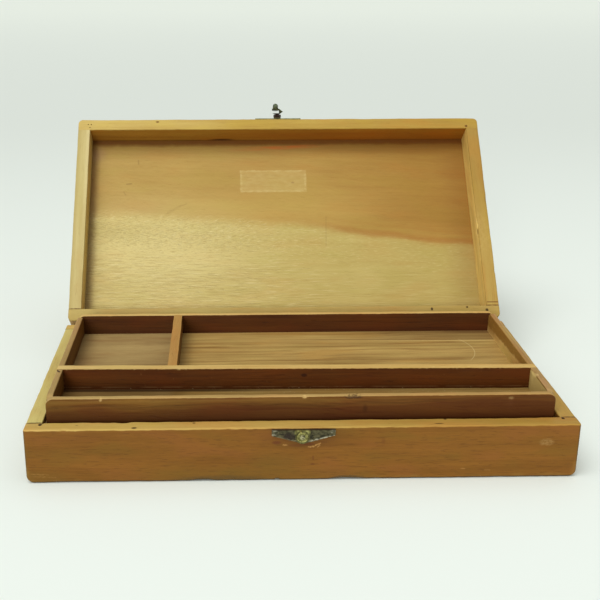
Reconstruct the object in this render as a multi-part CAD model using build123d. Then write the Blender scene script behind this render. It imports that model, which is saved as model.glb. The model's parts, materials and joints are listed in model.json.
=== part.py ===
from build123d import *
import math
import os

# A wooden brush box with a hinged lid, a loose inner tray and a small front latch.
# Millimetres. X runs along the width, Y from the front to the back, Z up. The origin is
# the middle of the underside of the base. The lid is built closed and then turned open.

# Base and lid frames
box_width = 320.0
box_depth = 172.0
base_height = 34.0
lid_height = 21.0
board_thickness = 9.5
bottom_thickness = 4.0
lid_panel_thickness = 3.5
panel_rabbet = 4.75
base_corner_round = 1.4
lid_corner_round = 3.6
closed_side_round = 4.4
rim_outer_round = 0.9
rim_inner_round = 0.5
rim_gap = 0.2

# Lid hinge
lid_opening = 131.0
hinge_setback = 2.0
hinge_inset = 44.0
hinge_length = 25.0
hinge_lid_knuckle = 7.4
hinge_stop_length = 3.0
hinge_stop_reach = 5.0
hinge_stop_play = 0.4
hinge_knuckle_radius = 2.2
hinge_pin_radius = 0.75
hinge_pin_clearance = 0.05
hinge_side_clearance = 0.2
hinge_leaf_thickness = 1.0
hinge_leaf_depth = 4.4
hinge_leaf_gap = 0.1
hinge_end_cutback = 2.0
hinge_screw_spacing = 14.0
hinge_screw_inset = 2.2
hinge_screw_length = 8.0
hinge_screw_radius = 0.6
hinge_screw_head_radius = 1.2
hinge_screw_head_height = 0.9
screw_slot_width = 0.3
screw_slot_depth = 0.3

# Tray
tray_proud = 12.4
tray_inner_height = 14.0
tray_floor_thickness = 3.0
tray_floor_rabbet = 2.2
tray_wall = 3.8
tray_side_clearance = 1.5
tray_front_clearance = 5.8
tray_rear_clearance = 2.7
tray_corner_round = 4.5
tray_edge_round = 0.6
divider_thickness = 5.7
divider_middle = 59.7
divider_skew = 0.94
cross_divider_thickness = 6.0
cross_divider_offset = -77.8
rail_thickness = 5.0
rail_height = 12.0

# Front latch
latch_plate_width = 36.5
latch_plate_end_height = 3.8
latch_plate_thickness = 1.0
latch_plate_inset = 1.0
latch_plate_middle = -0.5
latch_lobe_radius = 4.3
latch_lobe_drop = 5.5
keeper_middle = -0.1
shield_middle = -0.8
shield_radius = 4.1
shield_neck_width = 7.2
shield_shoulder_width = 9.2
shield_shoulder_height = 2.6
shield_shoulder_drop = 1.1
shield_thickness = 0.8
shield_ring_radius = 2.9
shield_ring_section = 0.4
rivet_head_radius = 1.5
rivet_head_height = 0.6
rivet_head_round = 0.36
rivet_shank_radius = 0.8
rivet_length = 6.0
lever_middle = -1.0
lever_axis_height = 1.6
lever_axis_offset = 3.3
lever_thickness = 1.2
lever_neck_width = 3.0
lever_side_clearance = 0.15
lever_notch_near = 2.35
lever_notch_height = 2.5
lever_notch_depth = 5.6
lever_jaw = 1.2
lever_tooth_reach = 2.4
lever_arm_reach = 3.1
lever_finger_width = 2.4
lever_finger_past_knob = 1.0
lever_rest_droop = 22.0
ear_radius = 1.4
ear_thickness = 1.0
lever_pin_radius = 0.6
lever_pin_clearance = 0.05
lever_pin_head = 0.3
lever_pin_head_radius = 0.95
knob_radius = 2.1
knob_skirt_radius = 2.8
knob_skirt_height = 0.5
knob_skirt_slope = 1.4
knob_reach = 8.2
knob_offset = 0.8
knob_middle = -2.3
knob_back_round = 0.3
catch_pin_radius = 0.7
catch_pin_round = 0.28
catch_pin_middle = -1.9
catch_pin_depth = 5.0
catch_pin_past_lever = 0.3

# Old pin holes in the rims, each as its side and inset across, then its side and inset deep
rim_hole_radius = 0.5
rim_hole_depth = 3.6
base_rim_holes = ((-1, 8.9, -1, 6.4), (1, 8.8, -1, 7.5))
lid_rim_holes = (
    (-1, 7.8, -1, 4.6),
    (-1, 10.2, -1, 4.6),
    (-1, 9.3, -1, 7.3),
    (1, 9.0, -1, 7.6),
    (1, 23.9, 1, 8.1),
    (1, 9.4, 1, 5.0),
)

# Nails, brads and pins
nail_clearance = 0.05
corner_nail_radius = 0.7
corner_nail_head_radius = 1.2
corner_nail_length = 24.0
base_nail_heights = (10.0, 24.8)
lid_nail_heights = (6.3, 13.6)
brad_radius = 0.5
brad_head_radius = 0.9
tray_brad_head_radius = 0.7
panel_brad_length = 13.0
panel_brad_edge = 2.4
panel_brad_shares_across = (-0.75, -0.25, 0.25, 0.75)
panel_brad_shares_deep = (-0.6, 0.0, 0.6)
rail_brad_length = 10.0
rail_brad_shares = (-0.7, 0.0, 0.7)
tray_brad_length = 11.0
floor_brad_length = 9.0
floor_brad_shares = (-0.8, 0.0, 0.8)
nail_head_thickness = 0.5
plate_pin_spacing = 29.0
plate_pin_drop = 2.2
plate_pin_radius = 0.5
plate_pin_head_radius = 0.95
plate_pin_head_height = 0.45
plate_pin_length = 6.0

# Derived places
half_width = box_width / 2
half_depth = box_depth / 2
inner_half_width = half_width - board_thickness
inner_half_depth = half_depth - board_thickness
lid_rim = base_height + rim_gap
lid_top = lid_rim + lid_height
hinge_y = half_depth + hinge_setback
hinge_z = base_height + rim_gap / 2
hinge_centres = (-half_width + hinge_inset, half_width - hinge_inset)
hinge_axis = Axis((0, hinge_y, hinge_z), (1, 0, 0))

tray_top = base_height + tray_proud
tray_floor_top = tray_top - tray_inner_height
tray_bottom = tray_floor_top - tray_floor_thickness
tray_half_width = inner_half_width - tray_side_clearance
tray_front = -inner_half_depth + tray_front_clearance
tray_rear = inner_half_depth - tray_rear_clearance
divider_y = -half_depth + divider_middle

lever_axis_z = lid_rim + lever_axis_height
lever_axis_y = -half_depth - lever_axis_offset
front_plane = Plane((0, -half_depth, base_height), x_dir=(1, 0, 0), z_dir=(0, -1, 0))
lid_front_plane = Plane((0, -half_depth, lid_rim), x_dir=(1, 0, 0), z_dir=(0, -1, 0))


def block(x_low, x_high, y_low, y_high, z_low, z_high):
    middle = ((x_low + x_high) / 2, (y_low + y_high) / 2, (z_low + z_high) / 2)
    return Pos(*middle) * Box(x_high - x_low, y_high - y_low, z_high - z_low)


def polygon(points):
    return Face(Wire.make_polygon([(x, y, 0) for x, y in points], close=True))


def rod(start, direction, length, radius):
    return Plane(start, z_dir=direction) * Cylinder(
        radius, length, align=(Align.CENTER, Align.CENTER, Align.MIN)
    )


def opened(shape):
    """Turn a piece of the closed lid to where it rests when the lid is open."""
    return shape.rotate(hinge_axis, -lid_opening)


# Nails and brads: each is a straight shank with a flat head, flush where it was driven in.


def nail(place, length, radius, head_radius, grow=0.0):
    start, direction = place
    shank = rod(start, direction, length + grow, radius + grow)
    head = rod(start, direction, nail_head_thickness + grow, head_radius + grow)
    return shank + head


def nails(places, length, radius, head_radius):
    return [nail(place, length, radius, head_radius) for place in places]


def nailed(board, places, length, radius, head_radius):
    """Cut the holes of the given nails into a board."""
    for place in places:
        board = board - nail(place, length, radius, head_radius, nail_clearance)
    return board


def corner_nail_places(z_values):
    nail_x = half_width - board_thickness / 2
    return [
        ((side_x * nail_x, side_y * half_depth, z), (0, -side_y, 0))
        for side_x in (-1, 1)
        for side_y in (-1, 1)
        for z in z_values
    ]


def panel_brad_places(face_z, direction_z):
    edge_x = inner_half_width + panel_brad_edge
    edge_y = inner_half_depth + panel_brad_edge
    direction = (0, 0, direction_z)
    front_and_rear = [
        ((share * inner_half_width, side * edge_y, face_z), direction)
        for side in (-1, 1)
        for share in panel_brad_shares_across
    ]
    sides = [
        ((side * edge_x, share * inner_half_depth, face_z), direction)
        for side in (-1, 1)
        for share in panel_brad_shares_deep
    ]
    return front_and_rear + sides


def rail_brad_places():
    rail_middle_z = tray_bottom - rail_height / 2
    rail_face = inner_half_width - rail_thickness
    return [
        ((side * rail_face, share * inner_half_depth, rail_middle_z), (side, 0, 0))
        for side in (-1, 1)
        for share in rail_brad_shares
    ]


def tray_corner_brad_places():
    brad_x = tray_half_width - tray_wall / 2
    brad_z = tray_floor_top + tray_floor_thickness
    return [
        ((side * brad_x, y, brad_z), (0, direction, 0))
        for side in (-1, 1)
        for y, direction in ((tray_front, 1), (tray_rear, -1))
    ]


def tray_floor_brad_places():
    edge_y = tray_wall - tray_floor_rabbet / 2
    return [
        ((share * tray_half_width, y, tray_bottom), (0, 0, 1))
        for share in floor_brad_shares
        for y in (tray_front + edge_y, tray_rear - edge_y)
    ]


base_corner_nails = corner_nail_places(base_nail_heights)
lid_corner_nails = corner_nail_places([lid_rim + height for height in lid_nail_heights])
bottom_brads = panel_brad_places(0.0, 1)
lid_brads = panel_brad_places(lid_top, -1)
corner_nail_sizes = (corner_nail_length, corner_nail_radius, corner_nail_head_radius)
panel_brad_sizes = (panel_brad_length, brad_radius, brad_head_radius)
rail_brad_sizes = (rail_brad_length, brad_radius, brad_head_radius)
tray_brad_sizes = (tray_brad_length, brad_radius, tray_brad_head_radius)
floor_brad_sizes = (floor_brad_length, brad_radius, tray_brad_head_radius)


# The two frames: a ring with rounded edges, sawn into four boards.


def frame_ring(z_low, z_high, rim_is_high, corner_round):
    outer = block(-half_width, half_width, -half_depth, half_depth, z_low, z_high)
    rim_index, closed_index = (-1, 0) if rim_is_high else (0, -1)
    closed_face = outer.faces().sort_by(Axis.Z)[closed_index]
    outer = fillet(closed_face.edges().filter_by(Axis.Y), closed_side_round)
    for end_index in (0, -1):
        end_edges = outer.faces().sort_by(Axis.Y)[end_index].edges().sort_by(Axis.Z)
        outer = fillet(end_edges[:-1] if rim_is_high else end_edges[1:], corner_round)
    outer = fillet(outer.faces().sort_by(Axis.Z)[rim_index].edges(), rim_outer_round)
    ring = outer - block(
        -inner_half_width, inner_half_width, -inner_half_depth, inner_half_depth, z_low, z_high
    )
    rim_face = ring.faces().sort_by(Axis.Z)[rim_index]
    return fillet(rim_face.inner_wires()[0].edges(), rim_inner_round)


def rim_pin_holes(board, holes, rim_z, direction_z):
    for side_x, inset_x, side_y, inset_y in holes:
        start = (side_x * (half_width - inset_x), side_y * (half_depth - inset_y), rim_z)
        board = board - rod(start, (0, 0, direction_z), rim_hole_depth, rim_hole_radius)
    return board


def frame_panel(z_low, z_high):
    edge_x = inner_half_width + panel_rabbet
    edge_y = inner_half_depth + panel_rabbet
    return block(-edge_x, edge_x, -edge_y, edge_y, z_low, z_high)


def frame_boards(ring, z_low, z_high):
    """Saw the ring: the front and rear boards run the full width, the sides fit between."""
    return {
        "front_board": ring
        & block(-half_width, half_width, -half_depth, -inner_half_depth, z_low, z_high),
        "rear_board": ring
        & block(-half_width, half_width, inner_half_depth, half_depth, z_low, z_high),
        "left_board": ring
        & block(-half_width, -inner_half_width, -inner_half_depth, inner_half_depth, z_low, z_high),
        "right_board": ring
        & block(inner_half_width, half_width, -inner_half_depth, inner_half_depth, z_low, z_high),
    }


# Hinges. Each leaf lies in a gain in its rim. Beside the knuckles each leaf has a stop at
# either end, and the bevels of the two stops meet when the lid is fully open.


def hinge_spans(kind):
    """X spans, about the hinge's middle, of the lid knuckle, base knuckles or stops."""
    half_lid = hinge_lid_knuckle / 2
    stop_inner = hinge_length / 2 - hinge_stop_length
    base_inner = half_lid + hinge_side_clearance
    base_outer = stop_inner - hinge_side_clearance
    if kind == "lid":
        return [(-half_lid, half_lid)]
    inner, outer = (base_inner, base_outer) if kind == "base" else (stop_inner, hinge_length / 2)
    return [(-outer, -inner), (inner, outer)]


def hinge_cylinder(centre_x, span, radius):
    low, high = span
    return rod((centre_x + low, hinge_y, hinge_z), (1, 0, 0), high - low, radius)


def hinge_stop(centre_x, span, side):
    """A stop of the base leaf (side -1) or, closed, of the lid leaf (side 1)."""
    bevel = math.radians(lid_opening / 2 + hinge_stop_play)
    height = hinge_stop_reach * math.sin(bevel)
    reach = hinge_stop_reach * math.cos(bevel)
    near = hinge_leaf_gap / math.tan(bevel)
    outline = polygon(
        [
            (-hinge_setback, side * hinge_leaf_gap),
            (near, side * hinge_leaf_gap),
            (reach, side * height),
            (-hinge_setback, side * height),
        ]
    )
    low, high = span
    profile_plane = Plane((centre_x + low, hinge_y, hinge_z), x_dir=(0, 1, 0), z_dir=(1, 0, 0))
    return extrude(profile_plane * outline, amount=high - low, dir=(1, 0, 0))


def hinge_leaf(centre_x, side):
    """The base leaf (side -1) or the lid leaf (side 1), both with the lid closed."""
    own, other = ("base", "lid") if side < 0 else ("lid", "base")
    z_near = hinge_z + side * hinge_leaf_gap
    z_far = z_near + side * hinge_leaf_thickness
    leaf = block(
        centre_x - hinge_length / 2,
        centre_x + hinge_length / 2,
        half_depth - hinge_leaf_depth,
        hinge_y,
        min(z_near, z_far),
        max(z_near, z_far),
    )
    for low, high in hinge_spans("stop"):
        leaf = leaf - block(
            centre_x + low,
            centre_x + high,
            half_depth,
            hinge_y,
            hinge_z - hinge_end_cutback,
            hinge_z + hinge_end_cutback,
        )
    running_radius = hinge_knuckle_radius + hinge_side_clearance
    for low, high in hinge_spans(other):
        clear_span = (low - hinge_side_clearance, high + hinge_side_clearance)
        leaf = leaf - hinge_cylinder(centre_x, clear_span, running_radius)
    for span in hinge_spans(own):
        leaf = leaf + hinge_cylinder(centre_x, span, hinge_knuckle_radius)
    for span in hinge_spans("stop"):
        leaf = leaf + hinge_stop(centre_x, span, side)
    full_span = (-hinge_length / 2, hinge_length / 2)
    leaf = leaf - hinge_cylinder(centre_x, full_span, hinge_pin_radius + hinge_pin_clearance)
    for screw_x in hinge_screw_places(centre_x):
        leaf = leaf - hinge_screw_body(screw_x, side, nail_clearance)
    return leaf


def hinge_pin(centre_x):
    outer = hinge_spans("base")[1][1]
    return hinge_cylinder(centre_x, (-outer, outer), hinge_pin_radius)


def hinge_screw_places(centre_x):
    return (centre_x - hinge_screw_spacing / 2, centre_x + hinge_screw_spacing / 2)


def hinge_screw_body(x, side, grow=0.0):
    """A countersunk screw: side -1 goes down into the base, side 1 up into the lid."""
    y = half_depth - hinge_screw_inset
    start = (x, y, hinge_z + side * hinge_leaf_gap)
    cone = Cone(
        hinge_screw_radius + grow,
        hinge_screw_head_radius + grow,
        hinge_screw_head_height,
        align=(Align.CENTER, Align.CENTER, Align.MAX),
    )
    head = Plane(start, z_dir=(0, 0, -side)) * cone
    shank = rod(start, (0, 0, side), hinge_screw_length + grow, hinge_screw_radius + grow)
    return head + shank


def hinge_screw(x, side):
    slot = Pos(x, half_depth - hinge_screw_inset, hinge_z + side * hinge_leaf_gap) * Box(
        3 * hinge_screw_head_radius, screw_slot_width, 2 * screw_slot_depth
    )
    return hinge_screw_body(x, side) - slot


def hinge_gain(centre_x):
    """The space that a hinge takes out of the two rims, and room for its knuckles."""
    leaf_reach = hinge_leaf_gap + hinge_leaf_thickness
    gain = block(
        centre_x - hinge_length / 2,
        centre_x + hinge_length / 2,
        half_depth - hinge_leaf_depth,
        hinge_y,
        hinge_z - leaf_reach,
        hinge_z + leaf_reach,
    )
    full_span = (-hinge_length / 2, hinge_length / 2)
    running_radius = hinge_knuckle_radius + hinge_side_clearance
    return gain + hinge_cylinder(centre_x, full_span, running_radius)


def screw_holes(board, side):
    for centre_x in hinge_centres:
        for x in hinge_screw_places(centre_x):
            board = board - hinge_screw_body(x, side, nail_clearance)
    return board


# Latch


def plate_outline(side):
    """The plate's outline about its middle: side -1 hangs down from a rim, side 1 stands up."""
    half = latch_plate_width / 2
    end_y = latch_plate_inset + latch_plate_end_height
    distance = math.hypot(half, latch_lobe_drop - end_y)
    tangent_length = math.sqrt(distance**2 - latch_lobe_radius**2)
    to_lobe = math.atan2(latch_lobe_drop - end_y, -half)
    turn = math.asin(latch_lobe_radius / distance)
    tangent = (
        half + tangent_length * math.cos(to_lobe - turn),
        end_y + tangent_length * math.sin(to_lobe - turn),
    )
    lobe_end = latch_lobe_drop + latch_lobe_radius
    corners = [(-half, latch_plate_inset), (half, latch_plate_inset), (half, end_y), tangent]
    right = [(x, side * y) for x, y in corners]
    left = [(-x, side * y) for x, y in (corners[3], corners[2])]
    edges = [Line(right[0], right[1]), Line(right[1], right[2]), Line(right[2], right[3])]
    edges.append(ThreePointArc(right[3], (0, side * lobe_end), left[0]))
    edges.append(Line(left[0], left[1]))
    edges.append(Line(left[1], right[0]))
    return Face(Wire(edges))


def raised(plane, outline, thickness, lift=0.0):
    """Stand an outline off the front: thick outwards, from lift outwards."""
    base = plane.offset(lift)
    return extrude(base * outline, amount=thickness, dir=(0, -1, 0))


def plate_pin_places(plane, middle, side):
    face_y = -half_depth - latch_plate_thickness
    z = plane.origin.Z + side * (latch_plate_inset + plate_pin_drop)
    return [(middle + end * plate_pin_spacing / 2, face_y, z) for end in (-1, 1)]


def plate_pin(place, grow=0.0):
    x, y, z = place
    shank = rod((x, y, z), (0, 1, 0), plate_pin_length + grow, plate_pin_radius + grow)
    dome_radius = (plate_pin_head_radius**2 + plate_pin_head_height**2) / (2 * plate_pin_head_height)
    sphere = Pos(x, y + dome_radius - plate_pin_head_height, z) * Sphere(dome_radius)
    outer_half = rod((x, y, z), (0, -1, 0), 2 * plate_pin_head_height, plate_pin_head_radius)
    return shank + (sphere & outer_half)


def pinned(shape, places):
    for place in places:
        shape = shape - plate_pin(place, nail_clearance)
    return shape


def rivet_parts(grow=0.0):
    """The shield's rivet: a dished dome on a shank through shield and plate into the wood."""
    outer_y = -half_depth - latch_plate_thickness - shield_thickness
    z = base_height - latch_lobe_drop
    shank = rod((shield_middle, outer_y, z), (0, 1, 0), rivet_length + grow, rivet_shank_radius + grow)
    if grow:
        return shank
    head = rod((shield_middle, outer_y, z), (0, -1, 0), rivet_head_height, rivet_head_radius)
    head = fillet(head.faces().sort_by(Axis.Y)[0].edges(), rivet_head_round)
    dish = rod(
        (shield_middle, outer_y - rivet_head_height, z), (0, 1, 0), rivet_head_height / 2,
        rivet_head_radius / 2,
    )
    return shank + head - dish


def catch_pin(grow=0.0):
    """The pin that the lever's notch drops over, from inside the board to past the lever."""
    z = lever_axis_z - lever_notch_near - lever_notch_height / 2
    tip = lever_axis_offset + lever_thickness / 2 + catch_pin_past_lever
    start = (catch_pin_middle, -half_depth + catch_pin_depth + grow, z)
    pin = rod(start, (0, -1, 0), catch_pin_depth + tip + grow, catch_pin_radius + grow)
    if grow:
        return pin
    return fillet(pin.faces().sort_by(Axis.Y)[0].edges(), catch_pin_round)


def keeper_plate():
    outline = Pos(keeper_middle, 0) * plate_outline(-1)
    plate = raised(front_plane, outline, latch_plate_thickness)
    plate = pinned(plate, plate_pin_places(front_plane, keeper_middle, -1))
    return plate - rivet_parts(nail_clearance) - catch_pin(nail_clearance)


def keeper_shield():
    """A brass shield with square shoulders, a round foot and a raised ring."""
    foot = Pos(shield_middle, -latch_lobe_drop) * Circle(shield_radius)
    shoulder_top = -shield_shoulder_drop
    shoulders = Pos(shield_middle, shoulder_top - shield_shoulder_height / 2) * Rectangle(
        shield_shoulder_width, shield_shoulder_height
    )
    neck_height = latch_lobe_drop + shoulder_top
    neck = Pos(shield_middle, shoulder_top - neck_height / 2) * Rectangle(
        shield_neck_width, neck_height
    )
    shield = raised(front_plane, foot + shoulders + neck, shield_thickness, latch_plate_thickness)
    ring_y = -half_depth - latch_plate_thickness - shield_thickness
    ring = Plane((shield_middle, ring_y, base_height - latch_lobe_drop), z_dir=(0, -1, 0)) * Torus(
        shield_ring_radius, shield_ring_section
    )
    return shield + ring - rivet_parts(nail_clearance) - catch_pin(nail_clearance)


def lever_outline():
    """Seen from outside with the lever hanging down: x across, y down from the axis as minus."""
    half_neck = lever_neck_width / 2
    jaw_top = ear_radius + lever_side_clearance
    notch_far = lever_notch_near + lever_notch_height
    body_far = notch_far + lever_jaw
    knob_x = knob_middle - lever_middle
    finger_left = knob_x - lever_finger_width / 2
    finger_right = knob_x + lever_finger_width / 2
    finger_end = knob_reach + lever_finger_past_knob
    left = knob_x - knob_skirt_radius
    notch_end = left + lever_notch_depth
    points = [
        (-half_neck, 0),
        (-half_neck, jaw_top),
        (knob_x - lever_tooth_reach, lever_notch_near),
        (notch_end, lever_notch_near),
        (notch_end, notch_far),
        (left, notch_far),
        (left, body_far),
        (finger_left, body_far),
        (finger_left, finger_end),
        (finger_right, finger_end),
        (finger_right, body_far),
        (notch_end, body_far),
        (notch_end + lever_arm_reach, lever_notch_near + lever_notch_height / 2),
        (half_neck, jaw_top),
        (half_neck, 0),
    ]
    return polygon([(x, -y) for x, y in points])


def lever_closed():
    """The lever hanging straight down from its axis, with the lid closed."""
    plane = Plane(
        (lever_middle, lever_axis_y + lever_thickness / 2, lever_axis_z),
        x_dir=(1, 0, 0),
        z_dir=(0, -1, 0),
    )
    body = extrude(plane * lever_outline(), amount=lever_thickness, dir=(0, -1, 0))
    half_neck = lever_neck_width / 2
    start = (lever_middle - half_neck, lever_axis_y, lever_axis_z)
    barrel = rod(start, (1, 0, 0), lever_neck_width, ear_radius)
    bore = rod(start, (1, 0, 0), lever_neck_width, lever_pin_radius + lever_pin_clearance)
    return body + barrel - bore


def knob_closed():
    """A bell with a skirt above the notch and a flat back in the plane of the lever's."""
    skirt = -(lever_notch_near + lever_notch_height)
    sloped = skirt - knob_skirt_height - knob_skirt_slope
    dome = math.sqrt(0.5) * knob_radius
    edges = [
        Line((0, skirt), (knob_skirt_radius, skirt)),
        Line((knob_skirt_radius, skirt), (knob_skirt_radius, skirt - knob_skirt_height)),
        Line((knob_skirt_radius, skirt - knob_skirt_height), (knob_radius, sloped)),
        Line((knob_radius, sloped), (knob_radius, -knob_reach)),
        ThreePointArc(
            (knob_radius, -knob_reach), (dome, -knob_reach - dome), (0, -knob_reach - knob_radius)
        ),
        Line((0, -knob_reach - knob_radius), (0, skirt)),
    ]
    bell = revolve(Plane.XZ * Face(Wire(edges)), Axis.Z)
    bell = Pos(knob_middle, lever_axis_y - knob_offset, lever_axis_z) * bell
    back_y = lever_axis_y + lever_thickness / 2
    bell = bell & block(
        -half_width, half_width, back_y - box_depth, back_y, lever_axis_z - box_depth, lever_axis_z
    )
    bell = fillet(bell.faces().sort_by(Axis.Y)[-1].edges(), knob_back_round)
    return bell - lever_closed()


def stood_out(shape):
    """Turn a piece of the hanging lever to stand out from the lid's front, drooping a little."""
    return shape.rotate(Axis((0, lever_axis_y, lever_axis_z), (1, 0, 0)), lever_rest_droop - 90)


def ear_spans():
    inner = lever_neck_width / 2 + lever_side_clearance
    outer = inner + ear_thickness
    return [(lever_middle - outer, lever_middle - inner), (lever_middle + inner, lever_middle + outer)]


def latch_plate():
    outline = Pos(latch_plate_middle, 0) * plate_outline(1)
    plate = raised(lid_front_plane, outline, latch_plate_thickness)
    plate = pinned(plate, plate_pin_places(lid_front_plane, latch_plate_middle, 1))
    face_y = -half_depth - latch_plate_thickness
    spans = ear_spans()
    for low, high in spans:
        web = block(
            low, high, lever_axis_y, face_y, lever_axis_z - ear_radius, lever_axis_z + ear_radius
        )
        eye = rod((low, lever_axis_y, lever_axis_z), (1, 0, 0), high - low, ear_radius)
        hole = rod((low, lever_axis_y, lever_axis_z), (1, 0, 0), high - low, lever_pin_radius)
        plate = plate + web + eye - hole
    barrel_back = lever_axis_y + ear_radius + lever_side_clearance
    saddle = block(
        spans[0][1], spans[1][0], barrel_back, face_y, lever_axis_z - ear_radius,
        lever_axis_z + ear_radius,
    )
    return plate + saddle


def lever_pin():
    low = ear_spans()[0][0]
    high = ear_spans()[1][1]
    pin = rod((low, lever_axis_y, lever_axis_z), (1, 0, 0), high - low, lever_pin_radius)
    for start, direction in ((low, -1), (high, 1)):
        pin = pin + rod(
            (start, lever_axis_y, lever_axis_z), (direction, 0, 0), lever_pin_head,
            lever_pin_head_radius,
        )
    return pin


# Tray


def tray_long_divider():
    middle_z = tray_floor_top + tray_inner_height / 2
    stock = Box(box_width, divider_thickness, tray_inner_height)
    skewed = Pos(0, divider_y, middle_z) * Rot(0, 0, -divider_skew) * stock
    return skewed & block(
        -tray_half_width, tray_half_width, tray_front, tray_rear, tray_floor_top, tray_top
    )


def tray_cross_divider():
    half = cross_divider_thickness / 2
    piece = block(
        cross_divider_offset - half,
        cross_divider_offset + half,
        divider_y,
        tray_rear - tray_wall,
        tray_floor_top,
        tray_top,
    )
    return piece - tray_long_divider()


def tray_floor():
    edge = tray_wall - tray_floor_rabbet
    return block(
        -tray_half_width + edge,
        tray_half_width - edge,
        tray_front + edge,
        tray_rear - edge,
        tray_bottom,
        tray_floor_top,
    )


def tray_long_wall(y_low, y_high):
    """The front or rear wall: full width, with rounded upper corners."""
    wall = block(-tray_half_width, tray_half_width, y_low, y_high, tray_bottom, tray_top)
    upper_ends = wall.edges().filter_by(Axis.Y).group_by(Axis.Z)[-1]
    wall = fillet(upper_ends, tray_corner_round)
    top_edges = wall.edges().filter_by(Axis.X).group_by(Axis.Z)[-1]
    wall = fillet(top_edges, tray_edge_round)
    return wall - tray_floor()


def tray_end(side):
    inner = tray_half_width - tray_wall
    low, high = sorted((side * inner, side * tray_half_width))
    end = block(low, high, tray_front + tray_wall, tray_rear - tray_wall, tray_bottom, tray_top)
    end = fillet(end.edges().filter_by(Axis.X).group_by(Axis.Z)[-1], tray_corner_round)
    top_edges = end.edges().filter_by(Axis.Y).group_by(Axis.Z)[-1]
    end = fillet(top_edges, tray_edge_round)
    return end - tray_floor() - tray_long_divider()


def rail(side):
    inner = inner_half_width - rail_thickness
    low, high = sorted((side * inner, side * inner_half_width))
    return block(low, high, -inner_half_depth, inner_half_depth, tray_bottom - rail_height, tray_bottom)


# Assembly


def base_parts():
    panel = frame_panel(0.0, bottom_thickness)
    parts = {}
    base_ring = frame_ring(0.0, base_height, True, base_corner_round)
    for name, board in frame_boards(base_ring, 0.0, base_height).items():
        board = nailed(board - panel, base_corner_nails, *corner_nail_sizes)
        parts["base_" + name] = nailed(board, bottom_brads, *panel_brad_sizes)
    for centre_x in hinge_centres:
        parts["base_rear_board"] = parts["base_rear_board"] - hinge_gain(centre_x)
    parts["base_rear_board"] = screw_holes(parts["base_rear_board"], -1)
    keeper_pins = plate_pin_places(front_plane, keeper_middle, -1)
    front = rim_pin_holes(parts["base_front_board"], base_rim_holes, base_height, -1)
    front = pinned(front, keeper_pins)
    parts["base_front_board"] = front - rivet_parts(nail_clearance) - catch_pin(nail_clearance)
    for name, side in (("left", -1), ("right", 1)):
        board = nailed(parts["base_" + name + "_board"], rail_brad_places(), *rail_brad_sizes)
        parts["base_" + name + "_board"] = board
        parts["tray_rail_" + name] = nailed(rail(side), rail_brad_places(), *rail_brad_sizes)
    parts["base_bottom_panel"] = nailed(panel, bottom_brads, *panel_brad_sizes)
    parts["base_corner_nails"] = nails(base_corner_nails, *corner_nail_sizes)
    parts["base_bottom_brads"] = nails(bottom_brads, *panel_brad_sizes)
    parts["tray_rail_brads"] = nails(rail_brad_places(), *rail_brad_sizes)
    parts["keeper_plate"] = keeper_plate()
    parts["keeper_shield"] = keeper_shield()
    parts["keeper_rivet"] = rivet_parts()
    parts["keeper_catch_pin"] = catch_pin()
    parts["keeper_plate_pins"] = [plate_pin(place) for place in keeper_pins]
    for name, centre_x in zip(("left", "right"), hinge_centres):
        parts["hinge_base_leaf_" + name] = hinge_leaf(centre_x, -1)
        parts["hinge_pin_" + name] = hinge_pin(centre_x)
    parts["hinge_base_screws"] = [
        hinge_screw(x, -1) for centre_x in hinge_centres for x in hinge_screw_places(centre_x)
    ]
    return parts


def lid_parts():
    """The lid's pieces with the lid closed."""
    panel = frame_panel(lid_top - lid_panel_thickness, lid_top)
    parts = {}
    lid_ring = frame_ring(lid_rim, lid_top, False, lid_corner_round)
    for name, board in frame_boards(lid_ring, lid_rim, lid_top).items():
        board = nailed(board - panel, lid_corner_nails, *corner_nail_sizes)
        parts["lid_" + name] = nailed(board, lid_brads, *panel_brad_sizes)
    for centre_x in hinge_centres:
        parts["lid_rear_board"] = parts["lid_rear_board"] - hinge_gain(centre_x)
    rear = screw_holes(parts["lid_rear_board"], 1)
    rear_holes = [hole for hole in lid_rim_holes if hole[2] > 0]
    parts["lid_rear_board"] = rim_pin_holes(rear, rear_holes, lid_rim, 1)
    latch_pins = plate_pin_places(lid_front_plane, latch_plate_middle, 1)
    front_holes = [hole for hole in lid_rim_holes if hole[2] < 0]
    front = rim_pin_holes(parts["lid_front_board"], front_holes, lid_rim, 1)
    parts["lid_front_board"] = pinned(front, latch_pins)
    parts["lid_panel"] = nailed(panel, lid_brads, *panel_brad_sizes)
    parts["lid_corner_nails"] = nails(lid_corner_nails, *corner_nail_sizes)
    parts["lid_panel_brads"] = nails(lid_brads, *panel_brad_sizes)
    for name, centre_x in zip(("left", "right"), hinge_centres):
        parts["hinge_lid_leaf_" + name] = hinge_leaf(centre_x, 1)
    parts["hinge_lid_screws"] = [
        hinge_screw(x, 1) for centre_x in hinge_centres for x in hinge_screw_places(centre_x)
    ]
    parts["latch_plate"] = latch_plate()
    parts["latch_pivot_pin"] = lever_pin()
    parts["latch_plate_pins"] = [plate_pin(place) for place in latch_pins]
    parts["latch_lever"] = stood_out(lever_closed())
    parts["latch_knob"] = stood_out(knob_closed())
    return parts


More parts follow.
